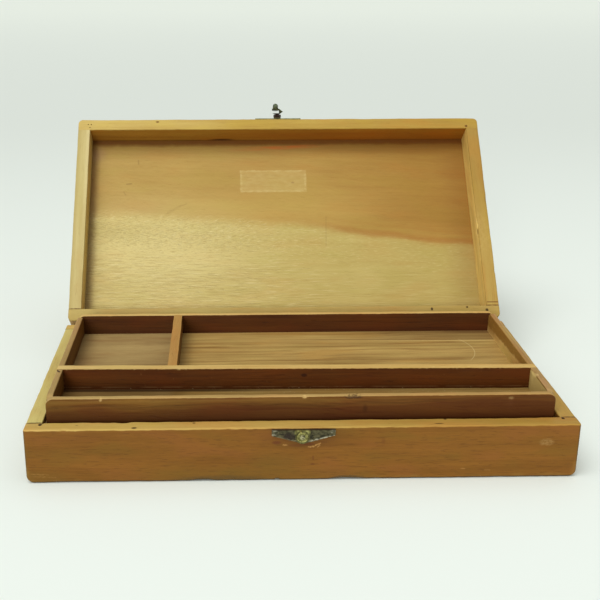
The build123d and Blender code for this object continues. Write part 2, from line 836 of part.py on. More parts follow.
def tray_parts():
    corner_brads = tray_corner_brad_places()
    floor_brads = tray_floor_brad_places()
    bare = {
        "tray_front_wall": tray_long_wall(tray_front, tray_front + tray_wall),
        "tray_rear_wall": tray_long_wall(tray_rear - tray_wall, tray_rear),
        "tray_left_end": tray_end(-1),
        "tray_right_end": tray_end(1),
        "tray_floor": tray_floor(),
    }
    parts = {}
    for name, piece in bare.items():
        piece = nailed(piece, corner_brads, *tray_brad_sizes)
        parts[name] = nailed(piece, floor_brads, *floor_brad_sizes)
    parts["tray_long_divider"] = tray_long_divider()
    parts["tray_cross_divider"] = tray_cross_divider()
    parts["tray_corner_brads"] = nails(corner_brads, *tray_brad_sizes)
    parts["tray_floor_brads"] = nails(floor_brads, *floor_brad_sizes)
    return parts


def whole(shape, name):
    """One labelled solid, or a compound of the separate solids of a group."""
    solids = []
    for piece in shape if isinstance(shape, list) else [shape]:
        solids.extend(piece.solids())
    node = solids[0] if len(solids) == 1 else Compound(children=solids)
    node.label = name
    return node


def main():
    os.makedirs("parts", exist_ok=True)
    parts = base_parts() | tray_parts()
    for name, shape in lid_parts().items():
        pieces = shape if isinstance(shape, list) else [shape]
        parts[name] = [opened(piece) for piece in pieces]
    for name, shape in parts.items():
        export_step(whole(shape, name), os.path.join("parts", name + ".step"))


main()
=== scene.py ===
import json
import math

import bmesh
import bpy
from mathutils import Matrix, Vector, noise

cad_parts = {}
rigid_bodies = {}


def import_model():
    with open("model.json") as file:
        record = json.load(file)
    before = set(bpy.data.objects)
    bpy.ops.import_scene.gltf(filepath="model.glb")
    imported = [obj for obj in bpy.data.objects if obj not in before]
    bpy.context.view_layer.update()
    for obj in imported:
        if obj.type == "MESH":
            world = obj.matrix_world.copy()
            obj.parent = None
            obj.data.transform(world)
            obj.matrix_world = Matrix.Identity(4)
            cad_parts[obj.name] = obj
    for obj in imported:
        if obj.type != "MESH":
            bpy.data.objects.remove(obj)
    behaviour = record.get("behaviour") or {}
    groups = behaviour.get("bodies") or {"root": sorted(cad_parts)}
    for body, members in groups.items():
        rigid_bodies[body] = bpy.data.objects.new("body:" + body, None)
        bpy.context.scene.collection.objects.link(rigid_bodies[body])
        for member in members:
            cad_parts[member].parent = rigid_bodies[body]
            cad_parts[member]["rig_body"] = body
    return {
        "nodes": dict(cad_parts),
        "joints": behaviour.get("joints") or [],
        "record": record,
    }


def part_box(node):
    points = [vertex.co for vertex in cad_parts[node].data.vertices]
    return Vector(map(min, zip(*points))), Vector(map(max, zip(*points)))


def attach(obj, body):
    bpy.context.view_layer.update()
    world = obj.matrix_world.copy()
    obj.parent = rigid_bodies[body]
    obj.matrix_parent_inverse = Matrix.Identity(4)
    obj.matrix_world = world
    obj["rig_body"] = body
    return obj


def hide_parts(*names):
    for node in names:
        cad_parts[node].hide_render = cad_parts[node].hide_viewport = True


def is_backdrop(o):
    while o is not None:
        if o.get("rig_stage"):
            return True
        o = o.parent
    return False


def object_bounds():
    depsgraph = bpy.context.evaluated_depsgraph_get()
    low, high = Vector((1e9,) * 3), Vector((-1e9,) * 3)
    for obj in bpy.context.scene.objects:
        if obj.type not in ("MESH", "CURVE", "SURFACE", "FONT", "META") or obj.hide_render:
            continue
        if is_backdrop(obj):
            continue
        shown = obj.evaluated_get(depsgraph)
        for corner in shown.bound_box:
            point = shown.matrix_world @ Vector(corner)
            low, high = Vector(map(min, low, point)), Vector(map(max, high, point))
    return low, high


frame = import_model()
cad_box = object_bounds()

# The shader coordinates are millimetres in the box's own frame with the lid closed, so a
# mark keeps its place on the wood. Meshes are in metres, as the frame is.
MM = 0.001

# Sizes read from the frame, in millimetres
front_low, front_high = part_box("base_front_board")
half_width = front_high.x / MM
half_depth = -front_low.y / MM
base_height = front_high.z / MM
board_thickness = (front_high.y - front_low.y) / MM
inner_half_width = half_width - board_thickness
inner_half_depth = half_depth - board_thickness
tray_low, tray_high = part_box("tray_front_wall")
tray_front = tray_low.y / MM
tray_wall = (tray_high.y - tray_low.y) / MM
tray_top = tray_high.z / MM
tray_half_width = tray_high.x / MM
tray_floor_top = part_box("tray_floor")[1].z / MM
tray_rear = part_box("tray_rear_wall")[1].y / MM
cross_low, cross_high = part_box("tray_cross_divider")
cross_left = cross_low.x / MM
cross_right = cross_high.x / MM
divider_low, divider_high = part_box("tray_long_divider")
divider_front = divider_low.y / MM
divider_rear = divider_high.y / MM
divider_reach = divider_high.x / MM
divider_points = [vertex.co / MM for vertex in frame["nodes"]["tray_long_divider"].data.vertices]
divider_left_face = min(point.y for point in divider_points if point.x < 1 - divider_reach)
divider_lean = (divider_left_face - divider_front) / (2 * divider_reach)
divider_right_rear = divider_front + divider_rear - divider_left_face
plate_low, plate_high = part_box("keeper_plate")
plate_middle = (plate_low.x + plate_high.x) / 2 / MM
plate_foot = plate_low.z / MM
shield_low, shield_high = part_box("keeper_shield")
shield_middle = (shield_low.x + shield_high.x) / 2 / MM
rivet_low, rivet_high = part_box("keeper_rivet")
rivet_height = (rivet_low.z + rivet_high.z) / 2 / MM
joints = {joint["name"]: joint for joint in frame["joints"]}
lid_hinge = joints["lid_hinge"]
hinge_place = Vector(lid_hinge["pos_m"])
lid_opening = math.radians(lid_hinge["range_deg"][1])
lid_rim = 2 * hinge_place.z / MM - base_height
opening_turn = Matrix.Rotation(-lid_opening, 3, "X")
closing_turn = Matrix.Rotation(lid_opening, 3, "X")


def lid_closed_point(point):
    return closing_turn @ (point - hinge_place) + hinge_place


def lid_open_point(point):
    return opening_turn @ (point - hinge_place) + hinge_place


lever_axis = lid_closed_point(Vector(joints["latch_turn"]["pos_m"])) / MM
lever_axis_y = lever_axis.y
lever_axis_z = lever_axis.z
panel_points = [lid_closed_point(vertex.co) for vertex in frame["nodes"]["lid_panel"].data.vertices]
panel_under = min(point.z for point in panel_points) / MM
panel_top = max(point.z for point in panel_points) / MM
panel_margin = half_width - max(point.x for point in panel_points) / MM


def rgb(red, green, blue):
    """A colour given as screen values from 0 to 255, as the linear colour that shaders take."""
    linear = []
    for value in (red, green, blue):
        share = value / 255
        linear.append(share / 12.92 if share <= 0.04045 else ((share + 0.055) / 1.055) ** 2.4)
    return (*linear, 1)


# Shader helpers


class Signal:
    """A number that varies over the surface. Arithmetic on it adds math nodes to its graph."""

    def __init__(self, graph, socket):
        self.graph = graph
        self.socket = socket

    def math(self, operation, other=None):
        return self.graph.math(operation, self, other)

    def __add__(self, other):
        return self.math("ADD", other)

    __radd__ = __add__

    def __sub__(self, other):
        return self.math("SUBTRACT", other)

    def __rsub__(self, other):
        return self.graph.math("SUBTRACT", other, self)

    def __mul__(self, other):
        return self.math("MULTIPLY", other)

    __rmul__ = __mul__

    def __truediv__(self, other):
        return self.math("DIVIDE", other)

    def absolute(self):
        return self.math("ABSOLUTE")

    def step(self, low, high):
        """0 below low, 1 above high and smooth between. With low above high it runs down."""
        inputs = {"Value": self, "From Min": low, "From Max": high}
        node = self.graph.node("MapRange", inputs, interpolation_type="SMOOTHSTEP")
        return Signal(self.graph, node.outputs["Result"])

    def near(self, centre, far, close):
        """1 within close of centre, 0 beyond far from it."""
        return (self - centre).absolute().step(far, close)

    def between(self, low, high, soft):
        """1 from low to high, 0 outside."""
        return self.step(low - soft, low + soft) * self.step(high + soft, high - soft)


class Graph:
    """One material's node tree, with short ways to add nodes and join them.

    Its place is X, Y and Z in millimetres in the box's frame with the lid closed.
    """

    def __init__(self, name, on_lid=False):
        self.material = bpy.data.materials.new(name)
        self.material.use_nodes = True
        self.tree = self.material.node_tree
        self.tree.nodes.clear()
        self.place = self.closed_place(on_lid)

    def node(self, kind, inputs=(), **settings):
        """Add a node. Its inputs go by name or by number."""
        made = self.tree.nodes.new("ShaderNode" + kind)
        for name, value in settings.items():
            setattr(made, name, value)
        for name, value in dict(inputs).items():
            self.feed(made.inputs[name], value)
        return made

    def feed(self, socket, value):
        """Link or set an input. A tuple of three is a colour given as screen values."""
        if isinstance(value, Signal):
            value = value.socket
        if isinstance(value, tuple) and len(value) == 3:
            value = rgb(*value)
        if isinstance(value, bpy.types.NodeSocket):
            self.tree.links.new(value, socket)
        else:
            socket.default_value = value

    def math(self, operation, first, second=None):
        inputs = {0: first} if second is None else {0: first, 1: second}
        return Signal(self, self.node("Math", inputs, operation=operation).outputs["Value"])

    def closed_place(self, on_lid):
        inputs = {"Vector": self.node("TexCoord").outputs["Object"], "Scale": [1 / MM] * 3}
        if on_lid:
            inputs["Rotation"] = [lid_opening, 0, 0]
            inputs["Location"] = (hinge_place - closing_turn @ hinge_place) / MM
        return self.split(self.node("Mapping", inputs).outputs["Vector"])

    def split(self, vector):
        node = self.node("SeparateXYZ", {"Vector": vector})
        return [Signal(self, node.outputs[axis]) for axis in "XYZ"]

    def upward(self):
        """How far the surface faces up, from -1 to 1."""
        return self.split(self.node("NewGeometry").outputs["True Normal"])[2]

    def noise(self, x, y, z, detail=2, roughness=0.5):
        """Smooth noise of about one wave per unit, from 0 to 1 about 0.5."""
        point = self.node("CombineXYZ", {"X": x, "Y": y, "Z": z}).outputs["Vector"]
        inputs = {"Vector": point, "Scale": 1, "Detail": detail, "Roughness": roughness}
        return Signal(self, self.node("TexNoise", inputs).outputs["Fac"])

    def clouds(self, *sizes, **settings):
        """Noise whose waves have the given sizes along X, Y and Z."""
        return self.noise(*(axis / size for axis, size in zip(self.place, sizes)), **settings)

    def curve(self, value, points):
        """A smooth curve through points, for a value between the first and the last."""
        low, high = points[0][0], points[-1][0]
        node = self.node("FloatCurve", {"Value": (value - low) / (high - low)})
        levels = [level for _, level in points]
        bottom, top = min(levels), max(levels)
        line = node.mapping.curves[0].points
        while len(line) < len(points):
            line.new(0.5, 0.5)
        for point, (at, level) in zip(line, points):
            point.location = ((at - low) / (high - low), (level - bottom) / (top - bottom))
        node.mapping.update()
        return Signal(self, node.outputs["Value"]) * (top - bottom) + bottom

    def mix(self, share, first, second, blend="MIX"):
        """The colour first, going to second by share."""
        node = self.node("Mix", data_type="RGBA", blend_type=blend, clamp_factor=True)
        colours = [socket for socket in node.inputs if socket.type == "RGBA"]
        self.feed(node.inputs["Factor"], share)
        self.feed(colours[0], first)
        self.feed(colours[1], second)
        return next(socket for socket in node.outputs if socket.type == "RGBA")

    def paint(self, colour, *coats):
        """Lay coats on a colour in turn. Each is a mask and the colour that it shows."""
        for share, shown in coats:
            colour = self.mix(share, colour, shown)
        return colour

    def darker(self, colour, factors):
        return self.mix(1, colour, factors, "MULTIPLY")

    def ragged(self, size, amount):
        """A rough wave, size long, that shifts an edge by up to half of amount either way."""
        return (self.clouds(size, size, size, detail=3) - 0.5) * amount

    def finish(self, colour, roughness, height=None, relief=0.1, metallic=0, specular=0.35):
        """Join everything to the surface shader. relief is the height's size in millimetres."""
        inputs = {
            "Base Color": colour,
            "Roughness": roughness,
            "Metallic": metallic,
            "Specular IOR Level": specular,
        }
        if height is not None:
            bump = {"Strength": 1, "Distance": relief * MM, "Height": height}
            inputs["Normal"] = self.node("Bump", bump).outputs["Normal"]
        shader = self.node("BsdfPrincipled", inputs)
        self.node("OutputMaterial", {"Surface": shader.outputs["BSDF"]})
        return self.material

    def finish_wood(self, colour, blotch, height, roughness, specular):
        """Wood that is up to 0.2 rougher where it is blotchy."""
        return self.finish(colour, blotch.step(0, 1) * 0.2 + roughness, height, specular=specular)


# Masks: each is 1 on a mark and 0 off it


def largest(signals):
    result = signals[0]
    for signal in signals[1:]:
        result = result.math("MAXIMUM", signal)
    return result


def distance(du, dv):
    return (du * du + dv * dv).math("SQRT")


def spot(u, v, centre, radii, soft=0.4):
    """An ellipse whose edge is soft, in shares of its radii."""
    away = distance((u - centre[0]) / radii[0], (v - centre[1]) / radii[1])
    return away.step(1 + soft, 1 - soft)


def stroke(u, v, start, end, width):
    """A straight scratch from start to end."""
    run = (end[0] - start[0], end[1] - start[1])
    length = math.hypot(*run)
    direction = (run[0] / length, run[1] / length)
    du = u - start[0]
    dv = v - start[1]
    along = du * direction[0] + dv * direction[1]
    across = (dv * direction[0] - du * direction[1]).absolute()
    past_end = (along * -1).math("MAXIMUM", along - length).math("MAXIMUM", 0)
    return (across + past_end).step(width, 0.3 * width)


def spots(u, v, *rows):
    """Spots, each a row of its centre, its two radii, its softness and its strength."""
    return [spot(u, v, row[:2], row[2:4], row[4]) * row[5] for row in rows]


def strokes(u, v, *rows):
    """Scratches, each a row of its start, its end, its width and its strength."""
    return [stroke(u, v, row[:2], row[2:4], row[4]) * row[5] for row in rows]


def rectangle(u, v, low, high, soft):
    return u.between(low[0], high[0], soft) * v.between(low[1], high[1], soft)


# Wood


def board_axes(place, along):
    """The place as length along the board and two directions across it."""
    order = {"x": (0, 1, 2), "y": (1, 0, 2)}[along]
    return [place[axis] for axis in order]


def wood(graph, along, seed, look):
    """Long streaks, fine fibres, short dark flecks and cloudy stain, as a solid pattern."""
    length, across, deep = board_axes(graph.place, along)
    length = length + seed * 173
    across = across + seed * 31 + length * look["slope"]
    deep = deep + seed * 17 + length * look["slope"]
    bend = (graph.noise(length / 90, across / 30, deep / 30, detail=1) - 0.5) * look["bend"]
    across = across + bend
    deep = deep + bend
    streak = graph.noise(length / look["streak_length"], across / 4.2, deep / 4.2, detail=3)
    line = graph.noise(length / look["streak_length"], across / 1.3, deep / 1.3)
    fibre = graph.noise(length / 9, across / 0.5, deep / 0.5, roughness=0.6)
    dash = graph.noise(length / 7, across / 0.7, deep / 0.7)
    fleck = dash.step(look["fleck_level"], look["fleck_level"] + 0.09)
    blotch = graph.noise(length / 60, across / 22, deep / 22, detail=3)
    darkness = (
        (line.step(0.5, 0.72)) * look["line"]
        + (streak - 0.5) * look["streak"]
        + (fibre - 0.5) * look["fibre"]
        + (blotch - 0.5) * look["blotch"]
        + 0.5
    )
    colour = graph.mix(darkness, look["light"], look["dark"])
    warm = graph.noise(length / 40, across / 14, deep / 14)
    # Darker and browner towards the right, by the look's right tint.
    rightward_tint = graph.mix(graph.place[0].step(-half_width, half_width), (1, 1, 1, 1), look["right"])
    colour = graph.paint(
        colour,
        (warm.step(0.5, 0.68) * look["warm"], look["warm_colour"]),
        (warm.step(0.5, 0.32) * look["cool"], look["cool_colour"]),
        (fleck * look["fleck"], look["fleck_colour"]),
    )
    colour = graph.darker(colour, rightward_tint)
    height = fibre * 0.6 - fleck * 0.5 - line.step(0.5, 0.72) * 0.3
    return colour, height, blotch


def look(light, dark, warm_colour=(172, 118, 48), cool_colour=(166, 144, 76), **changes):
    """How a wood looks: two tones, the tints of its warm and cool clouds, and their strengths."""
    values = {
        "light": light,
        "dark": dark,
        "slope": 0,
        "bend": 5,
        "streak_length": 90,
        "streak": 0.9,
        "line": 0.15,
        "fibre": 0.5,
        "blotch": 0.8,
        "warm": 0.3,
        "warm_colour": warm_colour,
        "cool": 0.25,
        "cool_colour": cool_colour,
        "fleck": 0.35,
        "fleck_level": 0.62,
        "fleck_colour": (98, 62, 26),
        "right": (1, 1, 1, 1),
    }
    values.update(changes)
    return values


BASE_FACE = look(
    (141, 93, 33), (108, 69, 20), (135, 82, 36), (114, 84, 26), warm=0.4, cool=0.4, fleck=0.32,
    fleck_level=0.58, fleck_colour=(84, 50, 14),
)
RIM = look(
    (205, 175, 98), (178, 141, 68), (204, 144, 74), (196, 168, 66), fleck=0.2,
    right=(0.80, 0.73, 0.62, 1),
)
RIM_FRONT = look(
    (203, 173, 97), (176, 139, 67), (204, 144, 74), (196, 168, 66), fleck=0.2,
    right=(0.72, 0.62, 0.44, 1),
)
RIM_LEFT = look(
    (209, 193, 118), (186, 164, 92), fleck=0.2, warm=0.2, cool=0.3, cool_colour=(184, 168, 88),
)
LID_RIM = look(
    (200, 175, 100), (174, 141, 70), (200, 146, 68), (196, 170, 70), fleck=0.15,
    right=(0.82, 0.76, 0.66, 1),
)
LID_RIM_REAR = look(
    (188, 168, 100), (162, 134, 70), (180, 136, 70), (176, 156, 76), fleck=0.15,
    right=(0.92, 0.82, 0.70, 1),
)
LID_RIM_LEFT = look(
    (196, 180, 121), (174, 152, 93), fleck=0.15, warm=0.15, cool_colour=(172, 153, 84),
)
LID_BOARD = look((176, 136, 64), (140, 98, 42), right=(0.95, 0.9, 0.82, 1))
LID_INNER = look(
    (168, 122, 44), (132, 86, 26), (166, 98, 26), (146, 112, 40), right=(0.94, 0.80, 0.56, 1),
)
LID_INNER_LEFT = look((220, 190, 114), (180, 146, 74), fleck=0.2, streak=1.2)
LID_INNER_RIGHT = look((244, 214, 128), (212, 172, 86), (194, 140, 66), streak=1.3, fleck=0.2)
LID_OUTSIDE = look(
    (166, 122, 54), (132, 90, 34), (158, 98, 40), (140, 106, 40), warm=0.4, cool=0.4, fleck=0.3,
    streak_length=130, slope=0.02,
)
# The paler tone of the panel: partly the wood's colour and partly a painted reflection.
PANEL_PALE_SHEEN = look(
    (201, 184, 116), (180, 158, 88), (194, 160, 92), (178, 164, 86), warm=0.25, fleck=0.1,
    fleck_colour=(158, 132, 66), streak=0.6, line=0.08, right=(0.80, 0.75, 0.64, 1),
)
PANEL_WARM = look(
    (182, 152, 82), (160, 126, 60), (176, 132, 64), (170, 144, 70), cool=0.4, fleck=0.12,
    fleck_colour=(134, 100, 46), streak=0.7, line=0.12, bend=8, slope=-0.05, streak_length=130,
    right=(0.88, 0.77, 0.58, 1),
)
TRAY_OUTER = look(
    (134, 95, 38), (90, 54, 17), (116, 62, 24), (112, 84, 34), line=0.3, streak=1, bend=12,
    slope=0.03, fleck=0.2, fleck_colour=(56, 28, 8), right=(0.88, 0.72, 0.76, 1),
)
TRAY_INNER = look(
    (104, 57, 18), (70, 34, 8), (98, 44, 12), (88, 58, 22), line=0.3, cool=0.2, fleck=0.3,
    fleck_colour=(40, 18, 6),
)
TRAY_REAR_INNER = look(
    (96, 54, 18), (64, 32, 8), (92, 42, 12), (84, 56, 22), line=0.3, cool=0.2, fleck=0.3,
    fleck_colour=(40, 18, 6), right=(0.86, 0.78, 0.68, 1),
)
TRAY_LEFT_INNER = look(
    (130, 88, 34), (90, 54, 16), (98, 52, 18), (100, 72, 28), line=0.3, cool=0.2, fleck=0.3,
    fleck_colour=(48, 24, 8),
)
TRAY_RIGHT_INNER = look(
    (160, 126, 58), (128, 92, 38), line=0.3, warm=0.2, cool_colour=(150, 128, 62), fleck=0.3,
)
TRAY_EDGE = look(
    (214, 187, 120), (186, 150, 84), (196, 144, 76), (194, 166, 84), fleck=0.25,
    right=(0.94, 0.86, 0.74, 1),
)
TRAY_SIDE_EDGE = look(
    (184, 152, 96), (148, 116, 68), (164, 116, 78), (150, 132, 78), fleck=0.3, blotch=1.4,
)
TRAY_RIGHT_EDGE = look(
    (184, 154, 98), (154, 120, 72), (178, 130, 90), (178, 158, 88), fleck=0.3, warm=0.5, cool=0.4,
    blotch=1.4,
)
TRAY_RIGHT_LOW = look(
    (236, 200, 124), (176, 132, 70), (200, 146, 78), (200, 178, 94), streak=1.3, cool=0.4,
    fleck=0.3, blotch=2.2,
)
FRONT_WALL_EDGE = look(
    (186, 158, 100), (158, 126, 72), (190, 142, 84), (172, 148, 84), fleck=0.25,
    right=(0.96, 0.86, 0.76, 1),
)
CROSS_EDGE = look((186, 144, 80), (158, 114, 58), (180, 122, 62), fleck=0.3, cool=0.2)
TRAY_FLOOR = look(
    (194, 161, 94), (134, 100, 50), (182, 134, 62), (164, 140, 76), streak=1.4, line=0.3,
    streak_length=240, bend=9, slope=-0.02, fleck=0.1, fibre=0.3,
)
TRAY_FLOOR_LEFT = look(
    (178, 150, 96), (130, 102, 60), (136, 98, 56), (174, 150, 96), streak=0.8, bend=10, warm=0.35,
    fleck=0.15, blotch=1.6,
)
BARE = look((186, 156, 104), (148, 114, 66), fleck=0.2)

VARNISH_ROUGHNESS = 0.42
VARNISH_SPECULAR = 0.14
DARK_LINE = (44, 24, 10)
JOINT_LINE = (96, 60, 24)
DUST = (212, 196, 150)
CHIPPED = (206, 172, 110)


def corner_joints(graph, fade, width):
    """The dark lines where the side boards butt against the front and rear boards."""
    x, y, z = graph.place
    ragged = graph.clouds(2, 2, 2, detail=1) - 0.5
    at_joint = y.absolute().near(inner_half_depth, width, 0.3 * width)
    beside = x.absolute().step(inner_half_width - 0.4, inner_half_width)
    return at_joint * beside * (ragged * 1.5 + fade)


def base_board_material(name, along, seed, rim_look, marks):
    """Darker varnished faces, a paler worn rim, worn lower edges and corners, and a painted contact
    shadow along the bottom edge.
    """
    graph = Graph(name)
    x, y, z = graph.place
    colour, height, blotch = wood(graph, along, seed, BASE_FACE)
    rim_colour, _, _ = wood(graph, along, seed + 0.5, rim_look)
    foot = (z + graph.ragged(9, 5)).step(2.6, 0.2)
    corner = (half_width - x.absolute() + z * 0.35 + graph.ragged(8, 6)).step(6, 1)
    arrises = x.absolute().step(half_width - 1.6, half_width - 0.6) * 0.4
    worn = base_height - z + graph.ragged(5, 1)
    colour = graph.paint(
        colour,
        (foot * 0.4, (142, 108, 48)),
        # A painted contact shadow along the bottom edge
        (z.step(1.5, 0.5) * 0.8, (46, 28, 16)),
        (arrises, (88, 76, 34)),
        (corner * 0.5, (150, 112, 52)),
        (worn.step(1.1, 0.5), rim_colour),
        (corner_joints(graph, 0.85, 0.7), DARK_LINE),
    )
    if marks:
        colour = marks(graph, colour)
    return graph.finish_wood(colour, blotch, height, VARNISH_ROUGHNESS, VARNISH_SPECULAR)


def front_face_marks(graph, colour):
    """Bruises round the keeper, a scuff at the right, grey chips below and specks on the rim."""
    x, y, z = graph.place
    near_face = y.step(-half_depth + 1.5, -half_depth + 1)
    frayed = graph.ragged(1.6, 1.6)
    broken = graph.clouds(0.9, 0.9, 0.7).step(0.36, 0.6)
    scuff = spot(x + frayed, z + frayed, (140.8, 22.8), (4, 2.2), 0.3) * near_face
    dirt = spot(x, z, (plate_middle, plate_foot + 3.5), (22, 6), 0.5) * near_face
    olive = largest(
        spots(x, z, (-16, 12, 14, 5, 0.8, 1), (-40, 3.5, 60, 5, 0.8, 1), (-150, 3, 14, 4, 0.8, 1))
    )
    scratches = largest(
        strokes(
            x, z + frayed,
            (-11.8, 22.8, -9.4, 22.7, 0.5, 0.6), (2.6, 21.3, 6, 22, 0.6, 1),
            (5.6, 21.6, 9.6, 23.8, 0.55, 1), (8, 21.2, 9.4, 22.4, 0.5, 0.7),
            (-157, 6, -147, 5.4, 0.5, 0.3), (-156, 4.2, -143, 3.8, 0.4, 0.25),
        )
        + strokes(x, z, (92, 6.2, 94.5, 6.2, 0.5, 0.4), (106, 5.2, 109, 5.2, 0.6, 0.3))
    )
    bruises = largest(
        spots(x, z + frayed, (1.5, 23.4, 4.5, 0.9, 0.4, 1))
        + spots(
            x, z,
            (-4, 22.6, 5, 0.9, 0.4, 0.6), (-15.5, 24.4, 2.6, 1, 0.4, 1),
            (5.4, 10.4, 1.2, 0.6, 0.4, 0.7), (46, 24.6, 1, 1.8, 0.8, 0.5),
        )
        + strokes(x, z, (5.6, 15.6, 5.8, 13.4, 0.7, 0.7))
    )
    ground_in = largest(
        spots(x, z + frayed, (-48, 0.8, 26, 2.6, 0.4, 0.7), (26, 1, 10, 1.8, 0.3, 1))
        + spots(x, z, (-58, 0.8, 7, 1.8, 0.3, 1), (-15, 0.6, 2, 1.3, 0.3, 1))
    )
    on_rim = z.step(base_height - 1.2, base_height - 0.6)
    specks = largest(
        spots(
            x, y,
            (-96.9, -84.4, 1.5, 0.9, 0.4, 1), (-62.9, -78.9, 0.9, 0.7, 0.4, 1),
            (-130, -80.5, 0.8, 0.5, 0.4, 0.5), (-151.2, -78.9, 1.1, 1.5, 0.25, 1),
            (151.6, -78.2, 1, 1.2, 0.25, 1), (82.8, -77.4, 0.9, 0.7, 0.4, 1),
            (78.1, -83.1, 2.6, 0.6, 0.4, 0.8),
        )
        + strokes(
            x, y, (-151.2, -78.9, -149.4, -76.8, 0.6, 1), (-158.8, -76.7, -154, -76.6, 0.8, 1)
        )
    )
    return graph.paint(
        colour,
        (scuff * (broken * 0.25 + 0.12), (172, 138, 84)),
        (dirt * 0.45, (98, 58, 24)),
        (olive * near_face * 0.35, (108, 84, 30)),
        (scratches * near_face * (broken * 0.5 + 0.25), (196, 148, 84)),
        (bruises * near_face * 0.6, (92, 44, 24)),
        (ground_in * near_face * (broken * 0.3 + 0.5), (74, 62, 38)),
        (specks * on_rim * 0.95, (52, 28, 6)),
    )


def lid_board_material(name, along, seed, inner, rim_look, foot_shade, marks):
    """A lid board: pale worn rim, stained inner face with painted shade by the panel, varnished
    outside.
    """
    graph = Graph(name, on_lid=True)
    x, y, z = graph.place
    colour, height, blotch = wood(graph, along, seed, LID_BOARD)
    inner_colour, _, _ = wood(graph, along, seed + 0.3, inner)
    rim_colour, _, _ = wood(graph, along, seed + 0.5, rim_look)
    inside = x.absolute().step(inner_half_width + 1.2, inner_half_width + 0.6)
    inside = inside * y.absolute().step(inner_half_depth + 1.2, inner_half_depth + 0.6)
    # Painted shade on the inner faces where they meet the panel, in shares of foot_shade
    deep = z.step(panel_under - 2.2, panel_under - 0.6) * inside
    worn = (z - lid_rim) + graph.ragged(5, 1.2)
    joints = corner_joints(graph, 0.7, 0.6) * y.step(-20, 20)
    colour = graph.paint(
        colour,
        (inside, inner_colour),
        (deep * foot_shade, (72, 32, 12)),
        (worn.step(1.3, 0.6), rim_colour),
        (joints, JOINT_LINE),
    )
    if marks:
        colour = marks(graph, colour)
    return graph.finish_wood(colour, blotch, height, VARNISH_ROUGHNESS, VARNISH_SPECULAR)


def on_lid_rim(graph):
    return graph.place[2].step(lid_rim + 1.2, lid_rim + 0.6)


def lid_front_marks(graph, colour):
    """A dark smudge and a reddish stain on the inner face, and specks on the rim."""
    x, y, z = graph.place
    smudge = spot(x, z, (-45.5, panel_under - 1.6), (8.5, 1.3), 0.7)
    stain = spot(x, z, (60, panel_under - 6), (90, 8), 0.6)
    on_rim = on_lid_rim(graph)
    colour = graph.paint(
        colour,
        (smudge * 0.8, (38, 16, 14)),
        (stain * 0.35, (146, 72, 16)),
    )
    browner = graph.darker(colour, (0.92, 0.87, 0.66, 1))
    speck = largest(
        spots(x, y, (-97, -83.5, 1.3, 0.8, 0.4, 1), (150.6, -78.4, 1.1, 0.9, 0.4, 1))
    )
    return graph.paint(
        colour,
        (on_rim * x.step(-75, -25), browner),
        (speck * on_rim * 0.8, (96, 52, 16)),
    )


def lid_left_marks(graph, colour):
    """The rim is dirtier at its outer edge and rubbed brighter at the inner one."""
    x, y, z = graph.place
    on_rim = on_lid_rim(graph)
    outer = x.step(-half_width + 4, -half_width + 0.5) * on_rim
    rubbed = x.step(-inner_half_width - 4, -inner_half_width - 1.5) * on_rim
    return graph.paint(
        colour,
        (outer * 0.4, (160, 138, 78)),
        (rubbed * y.step(60, -40) * 0.4, (216, 200, 148)),
    )


def lid_rear_marks(graph, colour):
    """Dirt round the old pin holes in the rim."""
    x, y, z = graph.place
    on_rim = on_lid_rim(graph)
    holes = largest(
        spots(
            x, y,
            (109.4, 79.2, 0.9, 1.2, 0.3, 1), (135.7, 77.9, 0.9, 0.8, 0.3, 0.7),
            (150.4, 80.4, 1.1, 1.3, 0.3, 1),
        )
    )
    return graph.mix(holes * on_rim * 0.85, colour, DARK_LINE)


def lid_right_marks(graph, colour):
    """Chips and pale scrapes along the inner face, and two cracks across the rim."""
    x, y, z = graph.place
    rough = graph.clouds(2, 2.6, 1.6)
    scraped = y.between(0, 30, 6) * z.between(lid_rim + 1, lid_rim + 7, 2)
    knot = spot(y, z, (15, lid_rim + 2), (2.2, 1.2))
    pale = stroke(y, z, (24, lid_rim + 5.5), (76, lid_rim + 6.5), 1.6)
    on_rim = on_lid_rim(graph)
    colour = graph.paint(
        colour,
        (scraped * rough.step(0.45, 0.6) * 0.6, (216, 188, 122)),
        (knot * 0.8, (128, 86, 36)),
        (pale * 0.45, (222, 196, 122)),
    )
    browner = graph.darker(colour, (0.86, 0.80, 0.70, 1))
    outside = x.step(inner_half_width, inner_half_width + 1) * on_rim
    cracks = largest([y.near(73.9, 0.7, 0.2), y.near(76.6, 0.6, 0.2)])
    return graph.paint(
        colour,
        (on_rim * y.step(50, -20), browner),
        (cracks * outside * 0.75, (104, 62, 24)),
    )


PANEL_BOUNDARY = (
    (-150.5, -9.8), (-92.5, -5.7), (-39.8, -1.4), (7.3, 1.2), (29.4, 3.6), (62, 10.4),
    (94.8, 14.1), (125.2, 18.3), (150.5, 19.9),
)
TAPE_LOW = (-31.3, -48.6)
TAPE_HIGH = (21.7, -29)
RING_CENTRE = (58, 20)
RING_RADIUS = 31


